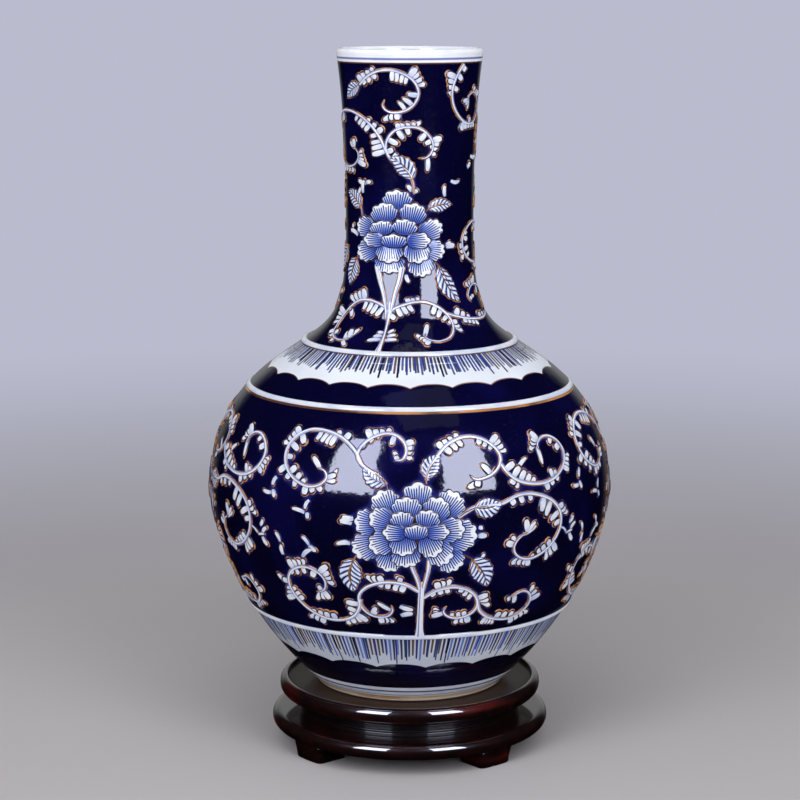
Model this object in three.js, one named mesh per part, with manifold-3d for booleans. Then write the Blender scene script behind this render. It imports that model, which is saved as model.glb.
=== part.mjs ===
// A globular long-necked porcelain vase standing on a round two-tier wooden stand.
// Millimetres, +Z up. The origin is on the table, on the axis that the vase and the stand share.
//
// The porcelain is thrown as four sections, which are luted together with slip: the lower belly with its
// foot ring, the upper belly, and the lower and upper neck. The stand is a bullnosed base ring on four
// feet, a recessed waist ring, and a bullnosed top ring whose rebate holds the seat panel. Long screws
// clamp base, waist and top together, and two short screws hold each foot.
import * as THREE from "three";
import { mergeVertices } from "three/addons/utils/BufferGeometryUtils.js";
import Module from "manifold-3d";

// ---- driving dimensions: stand ----
const FOOT_COUNT = 4;
const FOOT_HEIGHT = 14;
const FOOT_TOP_WIDTH = 39; // across the foot, along the ring
const FOOT_BOTTOM_WIDTH = 34;
const FOOT_DEPTH = 30; // from the outer face towards the axis
const FOOT_INSET = 4; // from the base ring's edge to the foot's outer face at the top
const FOOT_TUCK = 2; // how much further in the outer face is at the bottom
const FOOT_TURN = -5; // degrees that the feet are turned from the diagonals
const BASE_RADIUS = 124;
const BASE_THICKNESS = 14.2;
const TOP_RADIUS = 117;
const TOP_THICKNESS = 14.7;
const WAIST_RADIUS = 99;
const WAIST_HEIGHT = 14.7;
const RING_BORE = 84; // inner radius of all three rings; the top one's ledge holds the seat panel
const SEAT_RADIUS = 110; // the rebate that holds the seat panel
const SEAT_THICKNESS = 5;
const LIP_HEIGHT = 2.8; // the top ring's rounded lip above the seat panel
const WAIST_BEAD = 1.2; // radius of the two beads turned round the waist

// ---- driving dimensions: fasteners ----
const FRAME_SCREW_SHANK = 4;
const FRAME_SCREW_COVER = 2; // wood left between a frame screw's point and the seat panel
const FOOT_SCREW_SHANK = 3.5;
const FOOT_SCREW_BITE = 8; // how far a foot screw goes into the base ring
const SCREW_HEAD_EDGE = 0.4; // height of a screw head's upright edge
const FOOT_SCREW_SPACING = 18; // between the two screws of one foot
const FOOT_SCREW_COUNTERBORE = 4; // from the foot's underside to the screw head

// ---- driving dimensions: vase ----
const VASE_HEIGHT = 560;
const WALL = 6.5;
const FLOOR = 9; // thickness of the vase's floor
const FOOT_RING_RADIUS = 84;
const FOOT_RING_WIDTH = 9;
const FOOT_RING_HEIGHT = 5; // how far the floor's underside stands above the seat
const FOOT_RING_EDGE = 2; // height of the foot ring's upright edge
const BELLY_RADIUS = 176;
const BELLY_HEIGHT = 180; // from the foot to the widest place
const BELLY_RISE_ANGLE = 46.5; // degrees from upright, where the wall leaves the foot
const BELLY_RISE = 100; // how long the wall holds that direction
const BELLY_TURN_BELOW = 40; // how long it stands upright under the widest place
const BELLY_TURN_ABOVE = 76; // and over it
const NECK_ROOT_RADIUS = 103; // where shoulder turns into neck
const NECK_ROOT_HEIGHT = 300;
const NECK_ROOT_ANGLE = 55; // degrees from upright
const NECK_ROOT_BELOW = 25;
const NECK_ROOT_ABOVE = 41;
const NECK_RADIUS = 55.7; // the neck's narrowest place
const NECK_HEIGHT = 407;
const NECK_TURN_BELOW = 81;
const NECK_TURN_ABOVE = 92;
const MOUTH_RADIUS = 64;
const MOUTH_FLARE = 3.2; // how much the neck widens in its last stretch
const MOUTH_FLARE_HEIGHT = 24;

// ---- clearances ----
const GAP = 0.3; // between faces that touch
const SCREW_CLEARANCE = 0.35; // round a screw, in its hole

// ---- fineness ----
const ROUND_SIDES = 48;
const SCREW_SIDES = 8;
const CURVE_STEPS = 7; // steps in each stretch of the vase's profile
const BULLNOSE_STEPS = 7;

// ---- heights, from the table up ----
const baseBottom = FOOT_HEIGHT + GAP;
const baseTop = baseBottom + BASE_THICKNESS;
const waistBottom = baseTop + GAP;
const waistTop = waistBottom + WAIST_HEIGHT;
const topBottom = waistTop + GAP;
const topTop = topBottom + TOP_THICKNESS;
const seatTop = topTop - LIP_HEIGHT;
const seatBottom = seatTop - SEAT_THICKNESS;
const ledgeTop = seatBottom - GAP;
const vaseBottom = seatTop + GAP;

const wasm = await Module();
wasm.setup();

// ---- helpers ----
const radians = THREE.MathUtils.degToRad;
const point = (x, y) => new THREE.Vector2(x, y);

// A solid turned round Z from a profile of (radius, height) points.
function turned(profile, sides = ROUND_SIDES) {
  return new THREE.LatheGeometry(profile, sides).rotateX(Math.PI / 2);
}

// A geometry's faces as a manifold-3d solid, and back.
function solidOf(geometry) {
  const bare = geometry.index ? geometry.toNonIndexed() : geometry.clone();
  bare.deleteAttribute("normal");
  bare.deleteAttribute("uv");
  const merged = mergeVertices(bare, 1e-3);
  const vertProperties = new Float32Array(merged.attributes.position.array);
  const triVerts = new Uint32Array(merged.index.array);
  return new wasm.Manifold(new wasm.Mesh({ numProp: 3, vertProperties, triVerts }));
}

function geometryOf(solid) {
  const { numProp, vertProperties, triVerts } = solid.getMesh();
  const positions = new Float32Array((vertProperties.length / numProp) * 3);
  for (let i = 0; i * numProp < vertProperties.length; i++)
    positions.set(vertProperties.subarray(i * numProp, i * numProp + 3), i * 3);
  const geometry = new THREE.BufferGeometry();
  geometry.setAttribute("position", new THREE.BufferAttribute(positions, 3));
  geometry.setIndex(new THREE.BufferAttribute(triVerts, 1));
  geometry.computeVertexNormals();
  return geometry;
}

const without = (solid, cutters) => cutters.reduce((left, cutter) => left.subtract(cutter), solid);

// ---- the vase ----
const upright = point(0, 1);
const leaning = (degrees, sign) => point(sign * Math.sin(radians(degrees)), Math.cos(radians(degrees)));
const along = (from, direction, distance) => from.clone().addScaledVector(direction, distance);

const footTop = point(FOOT_RING_RADIUS, FOOT_RING_EDGE);
const widest = point(BELLY_RADIUS, BELLY_HEIGHT);
const neckRoot = point(NECK_ROOT_RADIUS, NECK_ROOT_HEIGHT);
const narrowest = point(NECK_RADIUS, NECK_HEIGHT);
const mouth = point(MOUTH_RADIUS, VASE_HEIGHT);
const neckRootDirection = leaning(NECK_ROOT_ANGLE, -1);

// The outer face, as four smooth stretches from the foot to the mouth.
const lowerBellyCurve = new THREE.CubicBezierCurve(
  footTop,
  along(footTop, leaning(BELLY_RISE_ANGLE, 1), BELLY_RISE),
  along(widest, upright, -BELLY_TURN_BELOW),
  widest,
);
const upperBellyCurve = new THREE.CubicBezierCurve(
  widest,
  along(widest, upright, BELLY_TURN_ABOVE),
  along(neckRoot, neckRootDirection, -NECK_ROOT_BELOW),
  neckRoot,
);
const lowerNeckCurve = new THREE.CubicBezierCurve(
  neckRoot,
  along(neckRoot, neckRootDirection, NECK_ROOT_ABOVE),
  along(narrowest, upright, -NECK_TURN_BELOW),
  narrowest,
);
const upperNeckCurve = new THREE.CubicBezierCurve(
  narrowest,
  along(narrowest, upright, NECK_TURN_ABOVE),
  point(MOUTH_RADIUS - MOUTH_FLARE, VASE_HEIGHT - MOUTH_FLARE_HEIGHT),
  mouth,
);

// Outer and inner points of the wall along a curve, the ends trimmed by startTrim and endTrim.
function wallAlong(curve, startTrim, endTrim) {
  const length = curve.getLength();
  const from = startTrim / length;
  const to = 1 - endTrim / length;
  const outer = [];
  const inner = [];
  for (let i = 0; i <= CURVE_STEPS; i++) {
    const u = from + ((to - from) * i) / CURVE_STEPS;
    const place = curve.getPointAt(u);
    const tangent = curve.getTangentAt(u);
    outer.push(place);
    inner.push(along(place, point(-tangent.y, tangent.x), WALL));
  }
  return { outer, inner };
}

// The wall of the lower belly, closed by the floor and standing on the foot ring.
function lowerBelly() {
  const { outer, inner } = wallAlong(lowerBellyCurve, 0, GAP / 2);
  const floorTop = FOOT_RING_HEIGHT + FLOOR;
  const ringInside = FOOT_RING_RADIUS - FOOT_RING_WIDTH;
  const aboveFloor = inner.filter((p) => p.y > floorTop + WALL);
  const floorEdge = point(aboveFloor[0].x - WALL * 2, floorTop);
  return [
    point(0, FOOT_RING_HEIGHT),
    point(ringInside, FOOT_RING_HEIGHT),
    point(ringInside, 0),
    point(FOOT_RING_RADIUS, 0),
    ...outer,
    ...aboveFloor.reverse(),
    floorEdge,
    point(0, floorTop),
  ];
}

// The wall of a section that lies between two seams.
function between(curve) {
  const { outer, inner } = wallAlong(curve, GAP / 2, GAP / 2);
  return [...outer, ...inner.reverse(), outer[0]];
}

// The upper neck ends in a rounded rim.
function upperNeck() {
  const { outer, inner } = wallAlong(upperNeckCurve, GAP / 2, WALL / 2);
  const centre = outer.at(-1).clone().lerp(inner.at(-1), 0.5);
  const rim = [1, 2, 3].map((i) => {
    const angle = (Math.PI * i) / 4;
    return point(centre.x + (WALL / 2) * Math.cos(angle), centre.y + (WALL / 2) * Math.sin(angle));
  });
  return [...outer, ...rim, ...inner.reverse(), outer[0]];
}

// ---- the stand ----
// A ring's bullnosed edge: half an ellipse from the lower face to the upper one.
function bullnose(radius, bottom, top, roundness) {
  const half = (top - bottom) / 2;
  const centre = point(radius - roundness, bottom + half);
  const curve = new THREE.EllipseCurve(centre.x, centre.y, roundness, half, -Math.PI / 2, Math.PI / 2);
  return curve.getPoints(BULLNOSE_STEPS);
}

function baseRing() {
  const edge = bullnose(BASE_RADIUS, baseBottom, baseTop, BASE_THICKNESS / 2);
  const start = point(RING_BORE, baseBottom);
  return [start, ...edge, point(RING_BORE, baseTop), start];
}

// The waist's upright face carries two turned beads.
function waistRing() {
  const beads = [1 / 3, 2 / 3].flatMap((share) => {
    const middle = waistBottom + WAIST_HEIGHT * share;
    return bullnose(WAIST_RADIUS + WAIST_BEAD, middle - WAIST_BEAD, middle + WAIST_BEAD, WAIST_BEAD);
  });
  const start = point(RING_BORE, waistBottom);
  const foot = point(WAIST_RADIUS, waistBottom);
  const head = point(WAIST_RADIUS, waistTop);
  return [start, foot, ...beads, head, point(RING_BORE, waistTop), start];
}

function topRing() {
  const rebate = SEAT_RADIUS + GAP;
  const edge = bullnose(TOP_RADIUS, topBottom, topTop, (TOP_RADIUS - rebate) * 0.8);
  const start = point(RING_BORE, topBottom);
  return [start, ...edge, point(rebate, topTop), point(rebate, ledgeTop), point(RING_BORE, ledgeTop), start];
}

const seatPanel = [
  point(0, seatBottom),
  point(SEAT_RADIUS, seatBottom),
  point(SEAT_RADIUS, seatTop),
  point(0, seatTop),
];

// A foot: a bracket sawn from a ring, its sides tapering to the bottom.
function footSolid() {
  const side = new THREE.Shape()
    .moveTo(-FOOT_BOTTOM_WIDTH / 2, 0)
    .lineTo(FOOT_BOTTOM_WIDTH / 2, 0)
    .quadraticCurveTo(FOOT_BOTTOM_WIDTH / 2, FOOT_HEIGHT / 2, FOOT_TOP_WIDTH / 2, FOOT_HEIGHT)
    .lineTo(-FOOT_TOP_WIDTH / 2, FOOT_HEIGHT)
    .quadraticCurveTo(-FOOT_BOTTOM_WIDTH / 2, FOOT_HEIGHT / 2, -FOOT_BOTTOM_WIDTH / 2, 0);
  const outerTop = BASE_RADIUS - FOOT_INSET;
  const block = new THREE.ExtrudeGeometry(side, { depth: outerTop, bevelEnabled: false, curveSegments: 4 });
  block.rotateX(Math.PI / 2); // the side's outline stands up, and its depth runs along -Y from the axis
  const start = point(outerTop - FOOT_TUCK - FOOT_DEPTH, 0);
  const ring = turned([
    start,
    point(outerTop - FOOT_TUCK, 0),
    point(outerTop, FOOT_HEIGHT),
    point(start.x, FOOT_HEIGHT),
    start,
  ]);
  return solidOf(block).intersect(solidOf(ring));
}

// ---- fasteners ----
// A countersunk screw, its head's face at height 0 and its point up. The hole for it is grown all round.
function screwProfile({ length, shank, head, headHeight }, grow = 0) {
  return [
    point(0, -grow),
    point(head / 2 + grow, -grow),
    point(head / 2 + grow, SCREW_HEAD_EDGE + grow / 2),
    point(shank / 2 + grow, headHeight + grow / 2),
    point(shank / 2 + grow, length - shank),
    point(0, length + grow),
  ];
}

const screw = (size) => turned(screwProfile(size), SCREW_SIDES);
const screwHole = (size) => solidOf(turned(screwProfile(size, SCREW_CLEARANCE), SCREW_SIDES));

// A plain hole from under the part up to a screw's head, where the head is sunk.
function counterbore(size, depth) {
  const radius = size.head / 2 + SCREW_CLEARANCE;
  const profile = [point(0, -1), point(radius, -1), point(radius, depth), point(0, depth)];
  return solidOf(turned(profile, SCREW_SIDES));
}

// A screw's head is twice as wide as its shank, and countersunk at 45 degrees or a little more.
const screwSize = (shank, length) => ({ length, shank, head: shank * 2, headHeight: shank * 0.6 });
const frameScrewStart = baseBottom + SCREW_CLEARANCE;
const frameScrewLength = ledgeTop - FRAME_SCREW_COVER - SCREW_CLEARANCE - frameScrewStart;
const frameScrewSize = screwSize(FRAME_SCREW_SHANK, frameScrewLength);
const footScrewLength = baseBottom + FOOT_SCREW_BITE - FOOT_SCREW_COUNTERBORE;
const footScrewSize = screwSize(FOOT_SCREW_SHANK, footScrewLength);

const footAngles = Array.from({ length: FOOT_COUNT }, (_, i) => FOOT_TURN + 45 + (360 / FOOT_COUNT) * i);
const footCentre = BASE_RADIUS - FOOT_INSET - FOOT_TUCK - FOOT_DEPTH / 2;
const frameScrewRadius = (RING_BORE + WAIST_RADIUS) / 2;

// Each screw's place: its foot or gap, its turn round Z in degrees, and the offsets from the axis.
const frameScrews = footAngles.map((angle) => ({
  turn: angle + 180 / FOOT_COUNT,
  across: 0,
  out: frameScrewRadius,
  height: frameScrewStart,
}));
const footScrews = footAngles.flatMap((angle) =>
  [-0.5, 0.5].map((side) => ({
    turn: angle,
    across: side * FOOT_SCREW_SPACING,
    out: footCentre,
    height: FOOT_SCREW_COUNTERBORE,
  })),
);

// Moves a manifold-3d solid, made on the axis, to a screw's place.
function placed(solid, { turn, across, out, height }) {
  return solid.translate([across, -out, height]).rotate([0, 0, turn]);
}

// ---- materials ----
const porcelain = new THREE.MeshStandardMaterial({ color: 0x07073a, roughness: 0.08, metalness: 0 });
const lacqueredWood = new THREE.MeshStandardMaterial({ color: 0x1c0b09, roughness: 0.2, metalness: 0 });
const steel = new THREE.MeshStandardMaterial({ color: 0x8f8a80, roughness: 0.4, metalness: 1 });

// ---- assembly ----
const part = new THREE.Group();

function add(name, geometry, material, height = 0) {
  const mesh = new THREE.Mesh(geometry, material);
  mesh.name = name;
  mesh.position.z = height;
  part.add(mesh);
  return mesh;
}

add("lower_belly_section", turned(lowerBelly()), porcelain, vaseBottom);
add("upper_belly_section", turned(between(upperBellyCurve)), porcelain, vaseBottom);
add("lower_neck_section", turned(between(lowerNeckCurve)), porcelain, vaseBottom);
add("upper_neck_section", turned(upperNeck()), porcelain, vaseBottom);

const frameHoles = frameScrews.map((place) => placed(screwHole(frameScrewSize), place));
const footHoles = footScrews.map((place) => placed(screwHole(footScrewSize), place));
const footBores = footScrews.map((place) =>
  placed(counterbore(footScrewSize, FOOT_SCREW_COUNTERBORE), { ...place, height: 0 }),
);

const drilledRing = (profile, holes) => geometryOf(without(solidOf(turned(profile)), holes));
add("base_ring", drilledRing(baseRing(), [...frameHoles, ...footHoles]), lacqueredWood);
add("waist_ring", drilledRing(waistRing(), frameHoles), lacqueredWood);
add("top_ring", drilledRing(topRing(), frameHoles), lacqueredWood);
add("seat_panel", turned(seatPanel), lacqueredWood);

footAngles.forEach((angle, i) => {
  const foot = without(footSolid().rotate([0, 0, angle]), [...footHoles, ...footBores]);
  add(`foot_${i + 1}`, geometryOf(foot), lacqueredWood);
});

// A screw mesh, turned to its place round the axis.
function addScrew(name, size, { turn, across, out, height }) {
  const mesh = add(name, screw(size), steel, height);
  const place = new THREE.Vector2(across, -out).rotateAround(point(0, 0), radians(turn));
  mesh.position.x = place.x;
  mesh.position.y = place.y;
  mesh.rotation.z = radians(turn);
}
frameScrews.forEach((place, i) => addScrew(`frame_screw_${i + 1}`, frameScrewSize, place));
footScrews.forEach((place, i) => addScrew(`foot_screw_${i + 1}`, footScrewSize, place));

export default part;
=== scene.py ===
# %% [markdown]
# # A cobalt-blue vase with raised lotus scrolls, on a lacquered stand
#
# The real vase is porcelain, thrown on a wheel. Its ground is a dark cobalt glaze. Flowers, leaves and
# scrolling stems are trailed on in thick white enamel, shaded with blue strokes and outlined in brown
# and gold, so they stand one to three millimetres proud of the ground.
#
# This lesson makes it in that order: the wall's curve, the raised work, the glazed skin, the stand and
# then the light. Every shape is worked out with numpy as whole arrays of points.

import bpy
import numpy as np
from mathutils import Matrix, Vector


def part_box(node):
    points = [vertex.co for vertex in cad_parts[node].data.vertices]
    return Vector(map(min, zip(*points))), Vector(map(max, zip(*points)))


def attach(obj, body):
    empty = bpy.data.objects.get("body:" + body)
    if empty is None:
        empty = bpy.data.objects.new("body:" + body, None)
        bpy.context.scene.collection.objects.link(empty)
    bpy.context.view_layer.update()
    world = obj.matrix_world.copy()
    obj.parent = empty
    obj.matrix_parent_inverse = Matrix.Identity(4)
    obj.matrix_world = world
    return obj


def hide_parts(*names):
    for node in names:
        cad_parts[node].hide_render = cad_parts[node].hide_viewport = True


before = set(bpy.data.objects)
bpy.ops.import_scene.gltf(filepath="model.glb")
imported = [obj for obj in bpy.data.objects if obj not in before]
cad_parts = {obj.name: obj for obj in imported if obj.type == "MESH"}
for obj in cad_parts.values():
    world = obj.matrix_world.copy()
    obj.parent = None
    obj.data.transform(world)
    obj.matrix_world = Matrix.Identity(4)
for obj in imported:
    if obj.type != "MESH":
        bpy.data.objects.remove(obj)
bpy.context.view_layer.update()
MM = 0.001

# %% [markdown]
# ## The wall's curve
#
# A potter's curve has no corners, so it is four smooth stretches end to end: foot to belly, belly to
# shoulder, shoulder to neck, neck to mouth. Each is a cubic Bezier curve, because its two handles say
# directly in which direction the wall leaves and arrives, and for how long it holds that direction.

# %% The outer face, from the foot to the mouth
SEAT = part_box("lower_belly_section")[0][2] / MM


def leaning(degrees, sign):
    """A unit step of (radius, height) that leans so many degrees from upright."""
    return np.array([sign * np.sin(np.radians(degrees)), np.cos(np.radians(degrees))])


def bezier(ends_and_handles, count):
    """(1-t)^3 A + 3(1-t)^2 t B + 3(1-t) t^2 C + t^3 D, for t from 0 to 1."""
    a, b, c, d = [np.asarray(p, float) for p in ends_and_handles]
    t = np.linspace(0, 1, count)[:, None]
    return (1 - t) ** 3 * a + 3 * (1 - t) ** 2 * t * b + 3 * (1 - t) * t**2 * c + t**3 * d


foot, widest = np.array([84.0, 2]), np.array([176.0, 180])
root, narrowest, mouth = np.array([103.0, 300]), np.array([55.7, 407]), np.array([64.0, 560])
inward = leaning(55, -1)
stretches = [
    (foot, foot + 100 * leaning(46.5, 1), widest - (0, 40), widest),
    (widest, widest + (0, 76), root - 25 * inward, root),
    (root, root + 41 * inward, narrowest - (0, 81), narrowest),
    (narrowest, narrowest + (0, 92), mouth - (3.2, 24), mouth),
]
POINTS = 200
wall = np.concatenate([bezier(stretch, POINTS)[1:] for stretch in stretches])
wall_rise = np.concatenate([[0], np.cumsum(np.hypot(*np.diff(wall, axis=0).T))])
wall_step = np.gradient(wall, wall_rise, axis=0)
RIM = wall_rise[-1]
print(f"the wall is {RIM:.0f} mm long from foot to mouth")

# %% [markdown]
# ## Places on the wall
#
# The pattern is drawn as if the wall were unrolled. A place has a turn, in degrees round from the front,
# a rise, in millimetres up along the wall, and a lift, in millimetres out from it.


# %% From (turn, rise, lift) to a point
def radius_at(rise):
    """The wall's radius in millimetres, read off the curve at that rise."""
    return np.interp(rise, wall_rise, wall[:, 0])


def beside(rise, lift=0.0):
    """(r + lift dz/ds, z - lift dr/ds): the radius and height at that lift from the wall's point (r, z)."""
    radial, upward = [np.interp(rise, wall_rise, wall_step[:, axis]) for axis in (0, 1)]
    height = np.interp(rise, wall_rise, wall[:, 1]) - lift * radial
    return np.stack([radius_at(rise) + lift * upward, height], -1)


def on_wall(turn, rise, lift):
    """(r sin turn, -r cos turn, z) in metres, with r and z from the rise and the lift."""
    radius, height = np.moveaxis(beside(rise, lift), -1, 0)
    angle = np.radians(turn)
    return np.stack([radius * np.sin(angle), -radius * np.cos(angle), SEAT + height], -1) * MM


def unrolled_scale(places):
    """Millimetres for each degree of turn and for each millimetre of rise, at (turn, rise) places."""
    per_degree = np.radians(radius_at(places[..., 1]))
    return np.stack([per_degree, np.ones_like(per_degree)], -1)


def moved(places, direction, distance):
    """(turn, rise) places moved so many millimetres along the wall in a (right, up) direction."""
    return places + direction * np.asarray(distance)[..., None] / unrolled_scale(places)


belly_degree, neck_degree = np.radians(wall[:, 0].max()), np.radians(narrowest[0])
print(f"a degree is {belly_degree:.1f} mm at the belly and {neck_degree:.1f} mm at the neck")


# %% [markdown]
# ## From arrays to a mesh
#
# A helper turns arrays of points and faces into a mesh. It also stores numbers that the
# enamel's colours are painted by, such as how far each point is from the shape's edge.


# %% Make a piece
made = []


def make_piece(name, points, faces, body, slot, uv=None, smooth=True, **numbers):
    """Points (n, 3) in metres, and faces as arrays of (count, corners). uv has a pair for each point or
    for each corner of each face, and every one of the numbers has a value for each point."""
    mesh = bpy.data.meshes.new(name)
    corners = np.concatenate([f.ravel() for f in faces])
    sizes = np.concatenate([np.full(len(f), f.shape[1]) for f in faces])
    mesh.vertices.add(len(points))
    mesh.vertices.foreach_set("co", points.astype(np.float32).ravel())
    mesh.loops.add(len(corners))
    mesh.loops.foreach_set("vertex_index", corners.astype(np.int32))
    mesh.polygons.add(len(sizes))
    mesh.polygons.foreach_set("loop_start", np.concatenate([[0], np.cumsum(sizes)[:-1]]).astype(np.int32))
    mesh.polygons.foreach_set("use_smooth", np.full(len(sizes), smooth))
    if uv is not None:
        corner_uv = uv if len(uv) == len(corners) else uv[corners]
        mesh.uv_layers.new(name="UVMap").data.foreach_set("uv", corner_uv.astype(np.float32).ravel())
    for key, values in numbers.items():
        mesh.attributes.new(key, "FLOAT", "POINT").data.foreach_set("value", values.astype(np.float32))
    mesh.update()
    mesh.validate()
    piece = bpy.data.objects.new(name, mesh)
    bpy.context.scene.collection.objects.link(piece)
    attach(piece, body)
    made.append(piece)
    print(f"{name}: {len(sizes)} faces")
    return piece


print("Blender", bpy.app.version_string)

# %% [markdown]
# ## Paint
#
# The enamel, the glaze and the lacquer are all made with one small helper that adds shader nodes.
# Written out by hand, a painted band takes a dozen nodes; with it, a line of code. A number that varies
# over the surface can be added to, multiplied and so on, and each step becomes a maths node.


# %% A paint box
class Value:
    """A number that varies over a surface. Arithmetic on it adds maths nodes to its tree."""

    def __init__(self, nodes, socket):
        self.nodes, self.socket = nodes, socket

    def __add__(self, other):
        return self.nodes.math("ADD", self, other)

    def __sub__(self, other):
        return self.nodes.math("SUBTRACT", self, other)

    def __rsub__(self, other):
        return self.nodes.math("SUBTRACT", other, self)

    def __mul__(self, other):
        return self.nodes.math("MULTIPLY", self, other)

    def __truediv__(self, other):
        return self.nodes.math("DIVIDE", self, other)

    def __pow__(self, other):
        return self.nodes.math("POWER", self, other)

    def __abs__(self):
        return self.nodes.math("ABSOLUTE", self)

    def fraction(self):
        """What is left of it above the whole number below it."""
        return self.nodes.math("FRACT", self)


class Nodes:
    """A node tree, with short ways to add the nodes that its colour comes from."""

    def __init__(self, tree, place):
        self.tree = tree
        self.coordinates = self.node("ShaderNodeTexCoord")
        self.place = self.coordinates.outputs[place]

    def node(self, kind, settings=None, **inputs):
        """Adds a node, with its settings and with what is plugged into its inputs, by name."""
        node = self.tree.nodes.new(kind)
        for key, value in (settings or {}).items():
            setattr(node, key, value)
        for key, value in inputs.items():
            self.plug(node.inputs[key.replace("_", " ")], value)
        return node

    def plug(self, socket, value):
        """Links another node's output to the socket, or sets it to a plain number or colour."""
        if isinstance(value, Value):
            value = value.socket
        if isinstance(value, bpy.types.NodeSocket):
            self.tree.links.new(value, socket)
        else:
            socket.default_value = value

    def math(self, operation, *values):
        """One step of arithmetic, as a maths node."""
        node = self.node("ShaderNodeMath", {"operation": operation})
        for socket, value in zip(node.inputs, values):
            self.plug(socket, value)
        return Value(self, node.outputs[0])

    def parts(self, vector):
        """The x, y and z of a vector."""
        return [Value(self, part) for part in self.node("ShaderNodeSeparateXYZ", Vector=vector).outputs]

    def number(self, name):
        """One of the numbers that the mesh stores for each point."""
        return Value(self, self.node("ShaderNodeAttribute", {"attribute_name": name}).outputs["Fac"])

    def random(self, value):
        """A random number from 0 to 1 for each whole number."""
        whole = self.math("FLOOR", value)
        node = self.node("ShaderNodeTexWhiteNoise", {"noise_dimensions": "1D"}, W=whole)
        return Value(self, node.outputs["Value"])

    def noise(self, scale, detail=2.0, stretch=None):
        """Soft random patches. stretch is how many times closer they lie along each axis."""
        place = self.place
        if stretch:
            place = self.node("ShaderNodeMapping", Vector=place, Scale=stretch).outputs[0]
        node = self.node("ShaderNodeTexNoise", Vector=place, Scale=scale, Detail=detail)
        return Value(self, node.outputs[0])

    def fade(self, value, low, high, first, last, kind="LINEAR"):
        """first below low and last above high, with a straight line between."""
        node = self.node("ShaderNodeMapRange", {"interpolation_type": kind}, Value=value, From_Min=low,
                         From_Max=high, To_Min=first, To_Max=last)
        return Value(self, node.outputs[0])

    def ramp(self, value, low, high):
        """0 below low and 1 above high, with a smooth rise between."""
        return self.fade(value, low, high, 0.0, 1.0, "SMOOTHSTEP")

    def between(self, value, low, high, soft=0.25):
        """1 between low and high, and 0 outside."""
        return self.ramp(value, low - soft, low + soft) - self.ramp(value, high - soft, high + soft)

    def mix(self, amount, first, second):
        """first where amount is 0, and second where it is 1."""
        node = self.node("ShaderNodeMix", {"data_type": "RGBA"})
        for socket, value in zip((node.inputs[0], node.inputs[6], node.inputs[7]), (amount, first, second)):
            self.plug(socket, (*value, 1) if isinstance(value, tuple) else value)
        return node.outputs[2]

    def shade(self, value, low, high, first, second):
        """first where the value is below low and second where it is above high, with a smooth change."""
        return self.mix(self.ramp(value, low, high), first, second)


class Paint(Nodes):
    """A material. Its place is in the object's own coordinates, in metres."""

    def __init__(self, name, roughness, ior=1.55):
        self.material = bpy.data.materials.new(name)
        self.material.use_nodes = True
        super().__init__(self.material.node_tree, "Object")
        self.shader = self.tree.nodes["Principled BSDF"]
        self.shader.inputs["Roughness"].default_value = roughness
        self.shader.inputs["IOR"].default_value = ior
        self.u, self.v, _ = self.parts(self.coordinates.outputs["UV"])

    def finish(self, colour, bump=None, depth=0.0):
        """Plugs the colour in. The bump's bright places stand depth metres proud of its dark ones."""
        self.plug(self.shader.inputs["Base Color"], colour)
        if bump is not None:
            height = self.node("ShaderNodeBump", Height=bump, Distance=depth)
            self.plug(self.shader.inputs["Normal"], height.outputs[0])
        print(f"{self.material.name}: {len(self.tree.nodes)} nodes")
        return self.material


WHITE = (0.86, 0.87, 0.90)
SHADE = (0.30, 0.38, 0.72)
BLUE = (0.055, 0.10, 0.52)
INK = (0.006, 0.008, 0.035)
BROWN = (0.09, 0.035, 0.015)
GOLD = (0.62, 0.27, 0.075)
print("the gold is", GOLD)

# %% [markdown]
# ## Raised shapes
#
# Each trail of enamel is a low pad on the wall: a curved top, sides that go just under the glaze, and a
# flat bottom inside it. A pad is a grid of places, with its rows across the trail. The same grid makes a
# stem, a leaflet and a leaf; only the centre line and the width differ.


# %% Build pads from grids
UNDER = -0.3


def pad_points(grids):
    """grids (pads, rows, columns, 3) of turn, rise and lift, as points in metres."""
    return on_wall(grids[..., 0], grids[..., 1], grids[..., 2]).reshape(-1, 3)


def pad_faces(pads, rows, columns):
    """Quads over each pad's top, a strip across its bottom, and one face to close each end."""
    i = np.arange(pads * rows * columns).reshape(pads, rows, columns)
    top = np.stack([i[:, :-1, :-1], i[:, :-1, 1:], i[:, 1:, 1:], i[:, 1:, :-1]], -1).reshape(-1, 4)
    bottom = np.stack([i[:, :-1, 0], i[:, 1:, 0], i[:, 1:, -1], i[:, :-1, -1]], -1).reshape(-1, 4)
    return [top, bottom, i[:, 0, ::-1], i[:, -1, :]]


def along_and_right(steps):
    """s / |s| for each step s in millimetres, and the same turned by a quarter to its right."""
    ahead = steps / (np.linalg.norm(steps, axis=-1, keepdims=True) + 1e-9)
    return ahead, np.stack([ahead[..., 1], -ahead[..., 0]], -1)


def strip(spine, half_width, lift, across, crown):
    """Carries a cross-section along a spine: each row is the spine's place, moved to its right.

    spine (pads, rows, 2), half_width and lift (pads, rows). across holds where the columns are, from
    -1 to 1, and crown how high they are, as a share of lift. The outermost two go under the glaze."""
    _, right = along_and_right(np.gradient(spine, axis=1) * unrolled_scale(spine))
    places = moved(spine[:, :, None], right[:, :, None], half_width[..., None] * across)
    height = lift[..., None] * crown
    height[..., [0, -1]] = UNDER
    return np.concatenate([places, height[..., None]], -1)


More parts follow.
